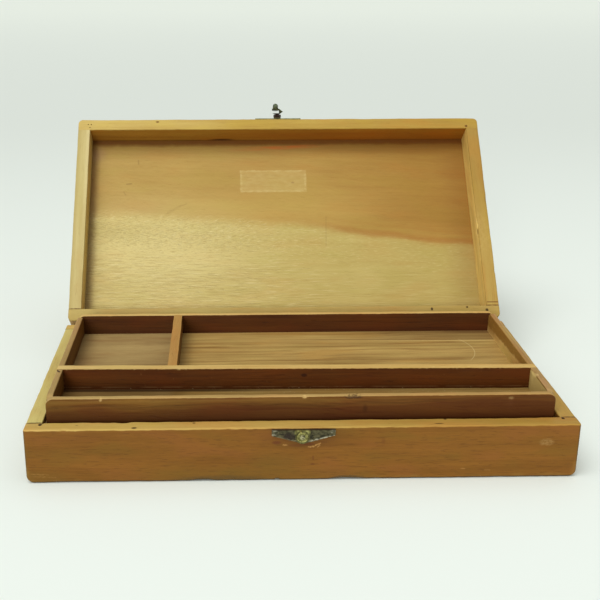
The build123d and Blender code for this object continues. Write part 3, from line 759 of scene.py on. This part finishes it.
def lid_panel_outside(graph):
    """Varnished like the boards round it, with a dark joint, worn edges, scratches and a ring."""
    x, y, z = graph.place
    colour, _, _ = wood(graph, "x", 12, LID_OUTSIDE)
    to_edge = (half_width - x.absolute()).math("MINIMUM", half_depth - y.absolute())
    handled = to_edge + graph.ragged(14, 5)
    joint = to_edge.step(panel_margin + 0.8, panel_margin + 0.3)
    ragged = graph.ragged(2.2, 0.8)
    scratches = largest(
        strokes(
            x, y + ragged,
            (-96, 22, -38, 34, 0.5, 1), (-20, -52, 34, -44, 0.5, 0.8), (70, 8, 112, -16, 0.6, 0.7),
            (88, 48, 124, 52, 0.5, 0.9), (-132, -20, -118, -42, 0.6, 0.7),
        )
    )
    broken = graph.noise(x / 5, y / 5, 2).step(0.4, 0.6)
    from_ring = (distance(x - RING_CENTRE[0], y - RING_CENTRE[1]) - RING_RADIUS).absolute()
    return graph.paint(
        colour,
        (handled.step(16, 4) * 0.3, (116, 76, 30)),
        (joint * 0.5, JOINT_LINE),
        (scratches * broken * 0.4, (196, 160, 92)),
        (from_ring.step(1.6, 0.5) * broken * 0.3, (104, 66, 24)),
    )


def lid_panel_material():
    """Two tones along the grain, the paler partly a painted reflection, a painted highlight at the
    left, fine flecks painted as glints with their shade, painted shade along the boards round it,
    the ghost of a strip of tape, and stains.
    """
    graph = Graph("lid_panel_wood", on_lid=True)
    x, y, z = graph.place
    pale, height, blotch = wood(graph, "x", 11, PANEL_PALE_SHEEN)
    warm, _, _ = wood(graph, "x", 11.5, PANEL_WARM)
    wander = (graph.noise(x / 26, y / 8, 3) - 0.5) * 5
    past_edge = y - graph.curve(x, PANEL_BOUNDARY) + wander
    # Warm above the boundary, paler below it, where the paler tone is partly a painted reflection
    colour = graph.mix(past_edge.step(-7, 4.5), warm, pale)
    line = past_edge + (graph.noise(x / 18, y / 5, 9) - 0.5) * 3
    bands = largest([line.between(-6, -1.8, 2), line.between(-12.5, -10.4, 2) * 0.4])
    colour = graph.mix(bands * x.step(-10, 90) * 0.55, colour, (152, 98, 36))
    browner = graph.darker(colour, (0.87, 0.80, 0.68, 1))
    # A painted highlight on the paler tone at the left
    lit = spot(x, y, (-98, 24), (62, 34), 0.9)
    olive = spot(x, y, (-15, -14), (75, 15), 0.9) * past_edge.step(3, -3)
    curl = (graph.noise(x / 11, y / 7, 5, detail=1) - 0.5) * 3.5
    upper = past_edge.step(34, 4)
    drift = x.math("MINIMUM", 0) * upper * 0.16
    dash = graph.noise(x / 4.8, (y + drift + curl * x.step(20, -40)) / 0.95, 0, detail=3)
    flecked = past_edge.step(-9, 4) * (x.step(70, -70) * 0.75 + 0.25)
    long_dash = graph.noise(x / 15, (y + curl * 0.3) / 0.85, 4)
    dash = dash + (long_dash - dash) * past_edge.step(14, 44)
    # Fine flecks painted as glints on small ridges of the grain, with painted shade beside them;
    # the relief raises the glints and lowers the shaded ones
    fleck_glints = dash.step(0.52, 0.68) * flecked
    fleck_shade = dash.step(0.48, 0.33) * flecked
    rim_shade = largest(
        [
            (x + inner_half_width + graph.ragged(9, 3)).step(8.5, 1) * 0.55,
            (y + inner_half_depth + graph.ragged(12, 3)).step(9, 2) * 0.85,
            (y + inner_half_depth).step(18, 4) * (x.step(-140, 120) * 0.25 + 0.25),
            (inner_half_width - x).step(30, 0) * 0.25,
        ]
    )
    ragged = graph.ragged(2.2, 1.4)
    tape = rectangle(x + ragged, y + ragged, TAPE_LOW, TAPE_HIGH, 0.5)
    middle = rectangle(
        x + ragged, y + ragged, (TAPE_LOW[0] + 1.6, TAPE_LOW[1] + 1.2),
        (TAPE_HIGH[0] - 1.6, TAPE_HIGH[1] - 1.6), 0.7,
    )
    gum = graph.noise(x / 6, y / 3, 0, detail=3).step(0.3, 0.7)
    smear = graph.noise(x / 14, y / 2.5, 0).step(0.25, 0.6)
    stain = spot(x, y + x * 0.045, (-8, -69.6), (34, 1.6), 0.8) * smear
    bruise = spot(x, y, (-145, -64), (5, 6), 0.8)
    marks = largest(
        strokes(x, y + ragged, (-89, -11, -78, -17.5, 1.5, 0.3), (-80, -16.5, -74, -19, 0.8, 0.5))
        + strokes(
            x, y,
            (-122, -36.8, -118, -37.2, 0.9, 1), (-113.2, -58.6, -112.8, -55, 0.8, 0.8),
            (-124, -30, -122.5, -27, 0.7, 0.6), (36.1, -7.3, 35, 18.8, 0.6, 0.45),
        )
    )
    outside = z.step(panel_top - 1, panel_top - 0.6)
    relief = height + (fleck_glints * 1.4 - fleck_shade * 0.8) * (1 - outside)
    colour = graph.paint(
        colour,
        (past_edge.step(0, -20) * x.step(20, 130), browner),
        (lit * 0.4, (222, 205, 146)),
        (olive * 0.35, (184, 156, 80)),
        (fleck_glints * 0.5, (226, 208, 150)),
        (fleck_shade * 0.38, (156, 126, 68)),
        (rim_shade, (94, 46, 10)),
        (tape * (gum * 0.14 + 0.15), (200, 180, 118)),
        ((tape - middle) * (gum * 0.26 + 0.03), (212, 190, 130)),
        (spot(x, y, (10.8, -37.5), (1.2, 0.7)) * 0.5, (130, 96, 50)),
        (stain * x.step(-60, 20) * 0.6, (190, 78, 26)),
        (bruise * 0.3, (150, 112, 88)),
        (marks * 0.45, (120, 90, 44)),
        (outside, lid_panel_outside(graph)),
    )
    return graph.finish(colour, blotch.step(0, 1) * 0.15 + 0.4, relief, relief=0.14, specular=0.18)


def plain_wood_material(name, along, seed, wood_look):
    graph = Graph(name)
    colour, height, blotch = wood(graph, along, seed, wood_look)
    return graph.finish_wood(colour, blotch, height, 0.45, 0.35)


def tray_material(name, along, seed, wood_look, edge_look, foot_shade, marks):
    """A tray wall or divider: dark stained sides and a paler, worn top edge."""
    graph = Graph(name)
    x, y, z = graph.place
    colour, height, blotch = wood(graph, along, seed, wood_look)
    edge_colour, _, _ = wood(graph, along, seed + 0.5, edge_look)
    foot = (z - tray_floor_top + graph.ragged(8, 2)).step(5, -1)
    rubbed = graph.ragged(3, 0.7)
    upward = (graph.upward() + rubbed).step(0.25, 0.6)
    near_top = (tray_top - z + rubbed).step(0.5, 0.2)
    colour = graph.paint(
        colour,
        (foot * foot_shade, (52, 20, 6)),
        (upward.math("MAXIMUM", near_top), edge_colour),
    )
    if marks:
        colour = marks(graph, colour)
    return graph.finish_wood(colour, blotch, height, 0.44, 0.12)


def front_wall_marks(graph, colour):
    """A wavy dark figure in the front face, a red-brown foot that is partly painted shade, small
    chips and bruises.
    """
    x, y, z = graph.place
    figure = z - tray_top + 7.4 - (x + 150) * 0.016
    figure = figure + (graph.noise(x / 45, z / 9, 2) - 0.5) * 8
    outside = y.step(tray_front + 0.6, tray_front + 0.2) * (tray_top - z).step(1.2, 2.2)
    frayed = graph.ragged(1.4, 2.4)
    chips = largest(
        spots(
            x + frayed, z + frayed,
            (-117, tray_top - 1.2, 0.7, 0.9, 0.4, 0.6), (122.4, tray_top - 2.5, 1.5, 0.9, 0.6, 0.6),
        )
        + spots(x + frayed, y, (1.5, tray_front + 1.6, 1.2, 0.8, 0.4, 0.8))
    )
    bruises = largest(
        spots(x, z + frayed, (30, tray_top - 0.9, 5.5, 0.8, 0.4, 1))
        + spots(x, z, (37, tray_top - 8.2, 1.3, 2.2, 0.7, 0.6))
    )
    return graph.paint(
        colour,
        (figure.step(1, 4) * outside * 0.3, (136, 104, 46)),
        # The dark red-brown foot, partly the wood's colour and partly painted shade
        (figure.step(1.2, -2.2) * outside * 0.62, (74, 34, 12)),
        (figure.between(0, 1, 0.8) * outside * 0.45, (66, 40, 14)),
        (chips * 0.4, CHIPPED),
        (bruises * 0.7, (48, 26, 12)),
    )


def divider_marks(graph, colour):
    """Nicks on the top edge, a dent in the front face and a dusty line along the foot."""
    x, y, z = graph.place
    nicks = graph.noise(x / 3, y / 1.5, 7).step(0.64, 0.74)
    scrapes = graph.clouds(1.6, 1.6, 2.6, detail=1).step(0.74, 0.82)
    above_floor = z - tray_floor_top
    broken = graph.noise(x / 12, 0, 4).step(0.35, 0.6)
    grit = graph.clouds(1.3, 1.3, 1.3, detail=1).step(0.68, 0.78)
    return graph.paint(
        colour,
        (nicks * z.step(tray_top - 1.4, tray_top - 0.4) * 0.5, (222, 190, 120)),
        (spot(x, z, (4.5, 41.6), (1.8, 1.1)) * 0.7, (34, 12, 6)),
        (scrapes * 0.35, (132, 88, 48)),
        (above_floor.between(1.3, 1.8, 0.4) * broken * 0.4, (150, 116, 76)),
        (grit * above_floor.step(1.8, 0) * 0.45, DUST),
    )


def left_end_marks(graph, colour):
    """The dark gap beside the divider where it is let into the end."""
    x, y, z = graph.place
    on_top = z.step(tray_top - 1.6, tray_top - 0.8)
    seams = largest(
        [
            y.near(divider_left_face, 0.7, 0.2),
            y.near(divider_rear, 0.5, 0.2),
        ]
    )
    notch = stroke(x, y, (-148.7, -28.1), (-146.6, -31.3), 1)
    return graph.paint(
        colour,
        (seams * on_top * 0.4, DARK_LINE),
        (notch * on_top * 0.9, DARK_LINE),
    )


def right_end_marks(graph, colour):
    """Paler low down behind the divider and browner above, yellowish chips, a stain and a chipped
    top.
    """
    x, y, z = graph.place
    low_colour, _, _ = wood(graph, "y", 17.6, TRAY_RIGHT_LOW)
    above_limit = z - tray_top + (y - divider_right_rear) * 0.05 + 5
    above_limit = above_limit + graph.ragged(6, 3)
    above_limit = above_limit + graph.ragged(1.8, 1.8)
    behind = y.step(divider_right_rear - 1, divider_right_rear)
    inside = x.step(tray_half_width - 1, tray_half_width - 1.6)
    scuffs = graph.clouds(3, 4, 2, detail=3).step(0.6, 0.7)
    specks = graph.clouds(1.2, 1.6, 1.2, detail=1).step(0.74, 0.8)
    front_part = y.step(divider_front, divider_front - 1) * (tray_top - z).step(1, 1.6)
    stained = spot(y, z, (-12, tray_floor_top + 4), (10, 5), 0.8)
    chip = stroke(y, x, (-43.5, 146.3), (-32.5, 144.2), 1) * z.step(tray_top - 2, tray_top - 1)
    return graph.paint(
        colour,
        (above_limit.step(1, -1) * behind * inside * 0.85, low_colour),
        (scuffs * (inside * 0.25 + 0.15), (212, 180, 96)),
        (specks * 0.5, (216, 200, 150)),
        (front_part * inside * 0.8, (206, 180, 112)),
        (behind * inside * above_limit.step(-1, 1) * 0.5, (150, 104, 44)),
        (stained * behind * 0.4, (170, 104, 44)),
        (chip * 0.5, (222, 192, 130)),
    )


HAIR_CENTRE = (94.5, 34)
HAIR_RADIUS = 32


def tray_floor_material():
    """Long streaks, a greyer cell at the left, a sliver of other wood at the rear, a hair, and
    painted shade along the walls, over the front cell and in front of the divider.
    """
    graph = Graph("tray_floor_wood")
    x, y, z = graph.place
    colour, height, blotch = wood(graph, "x", 13, TRAY_FLOOR)
    left_colour, _, _ = wood(graph, "x", 13.7, TRAY_FLOOR_LEFT)
    seam_y = y + x * 0.012 - 54
    rear_strip = seam_y.step(0.4, 1.6)
    from_hair = (distance(x - HAIR_CENTRE[0], y - HAIR_CENTRE[1]) - HAIR_RADIUS).absolute()
    hair = from_hair.step(0.5, 0.1) * x.step(119.4, 121.6)
    # Painted shade on the floor along the left wall, by the cross divider and along the rear wall
    wall_shade = largest(
        [
            (x + tray_half_width - tray_wall).step(14, 1),
            x.near(cross_right, 10, 0) * 0.7,
            (tray_rear - tray_wall - y).step(5, 0) * 0.5,
        ]
    )
    from_divider = (x - divider_reach) * -divider_lean + divider_front - y
    in_front = from_divider.step(-0.5, 0.5)
    seam = (tray_rear - tray_wall - y).step(7, 4) * x.step(100, 130)
    grit = graph.noise(x / 1.3, y / 1.3, 0, detail=1)
    dust = from_divider.between(0, 6, 2) * grit.step(0.66, 0.76)
    # A painted shadow on the floor just in front of the divider
    crevice_shadow = from_divider.step(4.4, 2.6) * in_front
    colour = graph.paint(
        colour,
        (x.step(cross_right, cross_left), left_colour),
        (rear_strip * x.step(10, 100) * 0.5, (116, 88, 50)),
        (seam_y.between(-0.2, 1, 0.4) * x.step(-20, 40) * 0.6, (92, 66, 34)),
        (seam_y.between(-2.6, -1, 0.5) * x.step(40, 100) * 0.4, (206, 176, 112)),
        (hair * 0.4, (216, 192, 134)),
        (wall_shade * 0.4, (78, 50, 24)),
        # Painted shade over the front cell's floor, stronger at the left
        (in_front * (x.step(-20, -100) * 0.35 + 0.35), (92, 66, 26)),
        (seam * 0.6, (94, 60, 32)),
        (dust * x.step(-90, -20) * 0.5, DUST),
        (crevice_shadow * (x.step(20, -60) * 0.7 + 0.15), (44, 22, 8)),
    )
    return graph.finish_wood(colour, blotch, height, 0.45, 0.12)


# Metal


def metal_material(name, light, dark, roughness):
    """Tarnished sheet or cast metal in clouds of two tones."""
    graph = Graph(name)
    x, y, z = graph.place
    cloud = graph.clouds(2.2, 2.2, 1.6, detail=4, roughness=0.6)
    colour = graph.mix(cloud.step(0.36, 0.62), light, dark)
    return graph.finish(
        colour, cloud * -0.25 + roughness, cloud, relief=0.12, metallic=0.7, specular=0.5
    )


def keeper_plate_material():
    """Blackened sheet with painted shade along its top edge, and plating left at the ends and the
    lower right.
    """
    graph = Graph("keeper_metal")
    x, y, z = graph.place
    from_middle = x - plate_middle
    cloud = graph.clouds(2.6, 2.2, 1.6, detail=4, roughness=0.6)
    colour = graph.mix(cloud.step(0.36, 0.62), (92, 86, 58), (46, 42, 26))
    purple = spot(x, z, (plate_middle - 8.5, plate_foot + 4), (3.5, 2.6), 0.8)
    patch = graph.clouds(2.6, 2, 0.9, detail=3, roughness=0.65)
    lower_edge = (z - plate_foot - 0.6 - from_middle.absolute() * 0.22).absolute()
    edged = lower_edge.step(1.2, 0.2) * patch.step(0.44, 0.58)
    ends = from_middle.absolute().step(14.5, 16.5) * patch.step(0.47, 0.6)
    colour = graph.paint(
        colour,
        (purple * 0.6, (52, 36, 34)),
        (edged * from_middle.step(4, -2) * 0.6, (136, 126, 92)),
        (edged * from_middle.step(2, 6) * 0.8, (196, 190, 164)),
        (ends * 0.6, (170, 164, 140)),
        # Painted shade along the top edge, just below the rim
        ((base_height - z).step(1.7, 1.2) * 0.85, (50, 26, 8)),
    )
    return graph.finish(
        colour, cloud * -0.25 + 0.62, cloud + edged * 0.6, relief=0.12, metallic=0.7, specular=0.5
    )


def shield_material():
    """Brass that is bright on the raised ring and dark in the recesses, with painted shade at the
    sides and along the top.
    """
    graph = Graph("shield_brass")
    x, y, z = graph.place
    from_middle = x - shield_middle
    from_rivet = distance(from_middle, z - rivet_height)
    cloud = graph.clouds(1.6, 1.6, 1.6, detail=3)
    colour = graph.mix(cloud.step(0.4, 0.64), (162, 156, 92), (100, 94, 44))
    groove = from_rivet.near(3.7, 0.7, 0.15)
    bowl = from_rivet.between(0.9, 2.3, 0.35)
    colour = graph.paint(
        colour,
        (groove * 0.7, (54, 52, 18)),
        # Painted shade at the sides
        (from_middle.absolute().step(2.8, 4.2) * 0.6, (66, 60, 26)),
        (bowl * 0.5, (104, 102, 58)),
        # Painted shade along the top, just below the rim
        ((base_height - z).step(1.6, 1.2) * 0.5, (60, 44, 14)),
    )
    return graph.finish(colour, cloud * -0.2 + 0.5, cloud, relief=0.1, metallic=0.6, specular=0.5)


def latch_plate_material():
    """Dull green-brown sheet, with ears and saddle that are nearly black."""
    graph = Graph("latch_plate_metal", on_lid=True)
    x, y, z = graph.place
    cloud = graph.clouds(2.2, 2.2, 1.6, detail=4, roughness=0.6)
    colour = graph.mix(cloud.step(0.36, 0.62), (122, 122, 78), (84, 84, 52))
    proud = y.step(-half_depth - 1, -half_depth - 1.1)
    colour = graph.mix(proud * 0.95, colour, (36, 16, 10))
    return graph.finish(colour, cloud * -0.25 + 0.6, cloud, relief=0.12, metallic=0.5, specular=0.4)


def lever_material():
    """Blackened brass: nearly black near the pivot, olive on the hook, worn bright on the knob."""
    graph = Graph("lever_metal", on_lid=True)
    x, y, z = graph.place
    cloud = graph.clouds(2, 2, 1.6, detail=3, roughness=0.6)
    colour = graph.mix(cloud.step(0.36, 0.62), (66, 68, 38), (26, 26, 10))
    from_pivot = distance(y - lever_axis_y, z - lever_axis_z)
    colour = graph.paint(
        colour,
        (from_pivot.step(3.2, 1.6) * 0.9, (34, 16, 10)),
        (from_pivot.step(6.4, 8.4) * 0.7, (104, 114, 88)),
    )
    return graph.finish(colour, cloud * -0.2 + 0.42, cloud, relief=0.1, metallic=0.8, specular=0.5)


def give(node, material):
    mesh = frame["nodes"][node].data
    mesh.materials.clear()
    mesh.materials.append(material)


for side, *row in (
    ("front", "x", 1, RIM_FRONT, front_face_marks),
    ("rear", "x", 2, RIM, None),
    ("left", "y", 3, RIM_LEFT, None),
    ("right", "y", 4, RIM, None),
):
    give(f"base_{side}_board", base_board_material(f"base_{side}_wood", *row))
for side, *row in (
    ("front", "x", 5, LID_INNER, LID_RIM, 0.55, lid_front_marks),
    ("rear", "x", 6, LID_INNER, LID_RIM_REAR, 0.55, lid_rear_marks),
    ("left", "y", 7, LID_INNER_LEFT, LID_RIM_LEFT, 0.3, lid_left_marks),
    ("right", "y", 8, LID_INNER_RIGHT, LID_RIM, 0.08, lid_right_marks),
):
    give(f"lid_{side}_board", lid_board_material(f"lid_{side}_wood", *row))
for node, *row in (
    (
        "tray_front_wall", "tray_front_wood", "x", 14, TRAY_OUTER, FRONT_WALL_EDGE, 0.45,
        front_wall_marks,
    ),
    ("tray_rear_wall", "tray_rear_wood", "x", 15, TRAY_REAR_INNER, TRAY_EDGE, 0.45, None),
    (
        "tray_left_end", "tray_left_wood", "y", 16, TRAY_LEFT_INNER, TRAY_SIDE_EDGE, 0.45,
        left_end_marks,
    ),
    (
        "tray_right_end", "tray_right_wood", "y", 17, TRAY_RIGHT_INNER, TRAY_RIGHT_EDGE, 0.1,
        right_end_marks,
    ),
    ("tray_long_divider", "divider_wood", "x", 18, TRAY_INNER, TRAY_EDGE, 0.45, divider_marks),
    ("tray_cross_divider", "cross_divider_wood", "y", 19, TRAY_OUTER, CROSS_EDGE, 0.45, None),
):
    give(node, tray_material(*row))
give("lid_panel", lid_panel_material())
give("tray_floor", tray_floor_material())
give("base_bottom_panel", plain_wood_material("base_panel_wood", "x", 12, BARE))
for side, seed in (("left", 20), ("right", 21)):
    give(f"tray_rail_{side}", plain_wood_material(f"tray_rail_{side}_wood", "y", seed, BARE))

# The corner nails are sunk, filled and varnished over, so their heads look like the wood.
for node, board in (
    ("base_corner_nails", "base_front_board"),
    ("lid_corner_nails", "lid_front_board"),
    ("tray_corner_brads", "tray_front_wall"),
):
    give(node, frame["nodes"][board].data.materials[0])

nail_metal = metal_material("nail_metal", (120, 108, 96), (56, 46, 38), 0.6)
for node in ("base_bottom_brads", "tray_rail_brads", "lid_panel_brads", "tray_floor_brads"):
    give(node, nail_metal)
give("keeper_shield", shield_material())
give("keeper_rivet", metal_material("rivet_brass", (178, 172, 130), (78, 72, 48), 0.45))
give("keeper_catch_pin", metal_material("pin_brass", (176, 168, 96), (92, 86, 40), 0.45))
for material, nodes in (
    (keeper_plate_material(), ("keeper_plate", "keeper_plate_pins")),
    (latch_plate_material(), ("latch_plate", "latch_plate_pins")),
    (lever_material(), ("latch_lever", "latch_knob", "latch_pivot_pin")),
):
    for node in nodes:
        give(node, material)
hinge_metal = metal_material("hinge_brass", (176, 150, 90), (90, 74, 40), 0.5)
for row in frame["record"]["subparts"]:
    if row["material_slot"] == "hinge_brass":
        give(row["node"], hinge_metal)

# Worn edges: the boards of the base, the lid and the tray are shown by copies whose long edges
# are rubbed down unevenly. All in millimetres.

MESH_STEP = 3
EDGE_CUTS = (0.5, 1.2, 2.4)
EDGE_REACH = 2.4
DENT_CUTS = (-0.9, -0.45, 0, 0.45, 0.9)
CLOSEST_CUT = 0.05
SMOOTH_ANGLE = math.radians(32)
SIDES = ("front", "rear", "left", "right")
WELD = 0.001


class Dent:
    """Wood gone from round centre, within radii, pushed in by shift. All in millimetres."""

    def __init__(self, centre, radii, shift):
        self.centre = Vector(centre)
        self.radii = Vector(radii)
        self.shift = Vector(shift)

    def moves(self, point):
        away = point - self.centre
        reach = sum((distance / radius) ** 2 for distance, radius in zip(away, self.radii))
        return self.shift * max(0, 1 - reach) ** 1.3


def cut_positions(low, high, dents, axis, step):
    """Where a board is cut across an axis, so that its mesh can bend there."""
    count = max(1, round((high - low) / step))
    places = {low + (high - low) * index / count for index in range(1, count)}
    for dent in dents:
        for share in DENT_CUTS:
            places.add(dent.centre[axis] + share * dent.radii[axis])
    return sorted(place for place in places if low + CLOSEST_CUT < place < high - CLOSEST_CUT)


def rubbed(point, along, low, high, seed, wear):
    """How far a point near one of the board's four long edges is worn in."""
    length = point[along]
    move = Vector((0, 0, 0))
    near = 1
    for axis in range(3):
        if axis == along:
            continue
        from_low = point[axis] - low[axis]
        from_high = high[axis] - point[axis]
        nearest = min(from_low, from_high)
        near *= max(0, 1 - nearest / EDGE_REACH)
        move[axis] = 1 if from_low < from_high else -1
    if near == 0:
        return move * 0
    edge = seed * 7.1 + move[(along + 1) % 3] * 3.7 + move[(along + 2) % 3] * 11.3
    slow = noise.noise(Vector((length / 14, edge, 0.5)))
    quick = noise.noise(Vector((length / 4, edge, 9.5)))
    depth = wear * max(0, 0.45 + 0.9 * slow + 0.45 * quick)
    return move.normalized() * depth * near


def worn_copy(node, seed, wear, dents):
    """A copy of a board with worn edges and dents, shown instead of the board."""
    source = frame["nodes"][node]
    body = source["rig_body"]
    on_lid = body == "lid"
    work = bmesh.new()
    work.from_mesh(source.data)
    for vertex in work.verts:
        place = lid_closed_point(vertex.co) if on_lid else vertex.co
        vertex.co = place / MM
    bmesh.ops.remove_doubles(work, verts=work.verts, dist=WELD)
    low = Vector(min(vertex.co[axis] for vertex in work.verts) for axis in range(3))
    high = Vector(max(vertex.co[axis] for vertex in work.verts) for axis in range(3))
    along = max(range(3), key=lambda axis: high[axis] - low[axis])
    for axis in range(3):
        normal = Vector((0, 0, 0))
        normal[axis] = 1
        if axis == along:
            places = cut_positions(low[axis], high[axis], dents, axis, MESH_STEP)
        else:
            places = set(cut_positions(low[axis], high[axis], dents, axis, high[axis] - low[axis]))
            places.update(low[axis] + cut for cut in EDGE_CUTS)
            places.update(high[axis] - cut for cut in EDGE_CUTS)
        for place in sorted(places):
            geometry = work.verts[:] + work.edges[:] + work.faces[:]
            bmesh.ops.bisect_plane(work, geom=geometry, plane_co=normal * place, plane_no=normal)
    for vertex in work.verts:
        point = vertex.co.copy()
        moved = point + rubbed(point, along, low, high, seed, wear)
        for dent in dents:
            moved += dent.moves(point)
        moved = Vector(min(max(moved[axis], low[axis]), high[axis]) for axis in range(3)) * MM
        vertex.co = lid_open_point(moved) if on_lid else moved
    work.verts.index_update()
    mesh = bpy.data.meshes.new(f"{node}_worn")
    mesh.from_pydata(
        [vertex.co[:] for vertex in work.verts],
        [],
        [[vertex.index for vertex in face.verts] for face in work.faces],
    )
    work.free()
    mesh.materials.append(source.data.materials[0])
    mesh.shade_smooth()
    mesh.set_sharp_from_angle(angle=SMOOTH_ANGLE)
    piece = bpy.data.objects.new(f"{node}_worn", mesh)
    bpy.context.scene.collection.objects.link(piece)
    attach(piece, body)
    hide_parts(node)


RIM_WEAR = 0.4
TRAY_WEAR = 0.35

WORN_BOARDS = [f"{part}_{side}_board" for part in ("base", "lid") for side in SIDES]
WORN_BOARDS += ["tray_front_wall", "tray_rear_wall", "tray_left_end", "tray_right_end"]
WORN_BOARDS += ["tray_long_divider", "tray_cross_divider"]

# Dents, each a row of its centre, its radii and its push
DENTS = {
    "base_front_board": (
        ((26, -half_depth, 0), (12, 4, 1.6), (0, 0.4, 0.5)),
        ((-58, -half_depth, 0), (9, 4, 1.6), (0, 0.4, 0.5)),
        ((-15, -half_depth, 0), (2.2, 3, 1.4), (0, 0.3, 0.5)),
        ((-137, -half_depth, base_height), (2.4, 1.8, 1.8), (0, 0.5, -0.5)),
        ((-42, -half_depth, base_height), (3, 1.6, 1.6), (0, 0.4, -0.4)),
        ((-104, -half_depth + board_thickness, base_height), (5, 1.6, 1.4), (0, -0.4, -0.3)),
        ((140.8, -half_depth, 22.8), (3.6, 0.8, 1.5), (0, 0.25, 0)),
    ),
    "tray_front_wall": (
        ((-117, tray_front, tray_top), (1.4, 1.4, 1.8), (0, 0.4, -0.4)),
        ((30, tray_front, tray_top), (5.5, 1.6, 1.6), (0, 0.3, -0.4)),
        ((1.5, tray_front, tray_top), (1.8, 1.6, 1.4), (0, 0.5, -0.5)),
        ((122.4, tray_front, tray_top - 2.5), (2, 0.9, 1.1), (0, 0.25, 0)),
    ),
    "tray_long_divider": (
        ((-105, divider_front, tray_top), (3.6, 1.5, 1.3), (0, 0.3, -0.6)),
        ((-64, divider_front, tray_top), (2, 1.5, 1.3), (0, 0.3, -0.4)),
        ((-25.5, divider_front, tray_top), (4.6, 1.5, 1.5), (0, 0.4, -0.7)),
        ((38, divider_front, tray_top), (2.4, 1.5, 1.2), (0, 0.3, -0.4)),
        ((4.5, divider_front, 41.6), (1.8, 0.8, 1.1), (0, 0.4, 0)),
    ),
    "tray_right_end": (
        ((144.6, -38, tray_top), (2.2, 7, 2.6), (0.5, 0, -1.2)),
        ((144.6, 6, tray_top), (1.6, 3, 1.4), (0.3, 0, -0.5)),
    ),
    "lid_right_board": (
        ((inner_half_width, 15, lid_rim + 2), (1, 3, 1.6), (0.5, 0, 0.2)),
        ((inner_half_width, 9, lid_rim), (2, 7, 1.6), (0.4, 0, 0.4)),
        ((half_width, -12, lid_rim), (1.8, 4, 1.6), (-0.4, 0, 0.4)),
        ((half_width, 48, lid_rim), (1.8, 3, 1.6), (-0.4, 0, 0.4)),
    ),
}
for seed, node in enumerate(WORN_BOARDS, start=1):
    wear = TRAY_WEAR if node.startswith("tray") else RIM_WEAR
    worn_copy(node, seed, wear, [Dent(*row) for row in DENTS.get(node, ())])

# Floor, lights and camera

FLOOR_HALF = 12
floor_mesh = bpy.data.meshes.new("floor")
floor_mesh.from_pydata(
    [(-FLOOR_HALF, -FLOOR_HALF, 0), (FLOOR_HALF, -FLOOR_HALF, 0),
     (FLOOR_HALF, FLOOR_HALF, 0), (-FLOOR_HALF, FLOOR_HALF, 0)],
    [],
    [(0, 1, 2, 3)],
)
floor = bpy.data.objects.new("floor", floor_mesh)
bpy.context.scene.collection.objects.link(floor)
floor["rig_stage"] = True


def floor_material():
    """Pale paper, greyed a little behind the box by painted shade."""
    graph = Graph("floor_paper")
    x, y, z = graph.place
    near, behind, far = -300, 1300, 6000
    colour = graph.mix(y.step(near, behind), (234, 240, 233), (213, 218, 211))
    colour = graph.mix(y.step(behind, far), colour, (224, 229, 220))
    return graph.finish(colour, 0.9, specular=0)


floor_mesh.materials.append(floor_material())

WORLD_COLOUR = (0.96, 1, 0.97, 1)
WORLD_STRENGTH = 0.45
world = bpy.data.worlds.new("studio")
world.use_nodes = True
background = world.node_tree.nodes["Background"]
background.inputs["Color"].default_value = WORLD_COLOUR
background.inputs["Strength"].default_value = WORLD_STRENGTH
bpy.context.scene.world = world


def sun(name, direction, strength, spread):
    """A lamp far away in the given direction from the box. strength is in shares of white."""
    data = bpy.data.lights.new(name, "SUN")
    data.energy = strength * math.pi
    data.angle = math.radians(spread)
    lamp = bpy.data.objects.new(name, data)
    lamp.rotation_mode = "QUATERNION"
    lamp.rotation_quaternion = Vector(direction).to_track_quat("Z", "Y")
    bpy.context.scene.collection.objects.link(lamp)


sun("key", (-0.30, -0.28, 0.91), 0.47, 44)
sun("low", (-0.24, -0.93, 0.27), 0.39, 18)
sun("overhead", (0.1, 0.1, 1), 0.10, 60)

# The camera: at the viewer's place, looking down on the open box from the front
CAMERA_PLACE = (-0.0447, -0.5937, 0.2867)
CAMERA_YAW = math.radians(-1.334)
CAMERA_PITCH = math.radians(-19.067)
CAMERA_ROLL = math.radians(0.06)
SENSOR_WIDTH = 36
PICTURE_WIDTH = 600
FOCAL_PIXELS = 986.8
CENTRE_PIXEL = 246.2

camera_data = bpy.data.cameras.new("camera")
camera_data.sensor_width = SENSOR_WIDTH
camera_data.lens = FOCAL_PIXELS / PICTURE_WIDTH * SENSOR_WIDTH
camera_data.shift_x = (PICTURE_WIDTH / 2 - CENTRE_PIXEL) / PICTURE_WIDTH
camera_data.clip_start = 0.01
camera = bpy.data.objects.new("camera", camera_data)
turn = (
    Matrix.Rotation(CAMERA_YAW, 4, "Z")
    @ Matrix.Rotation(CAMERA_PITCH, 4, "X")
    @ Matrix.Rotation(CAMERA_ROLL, 4, "Y")
    @ Matrix.Rotation(math.radians(90), 4, "X")
)
camera.matrix_world = Matrix.Translation(CAMERA_PLACE) @ turn
bpy.context.scene.collection.objects.link(camera)
bpy.context.scene.camera = camera
bpy.context.scene.view_settings.view_transform = "Standard"

boxes = {"cad": cad_box, "visual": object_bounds()}
{name: [list(corner) for corner in box] for name, box in boxes.items()}
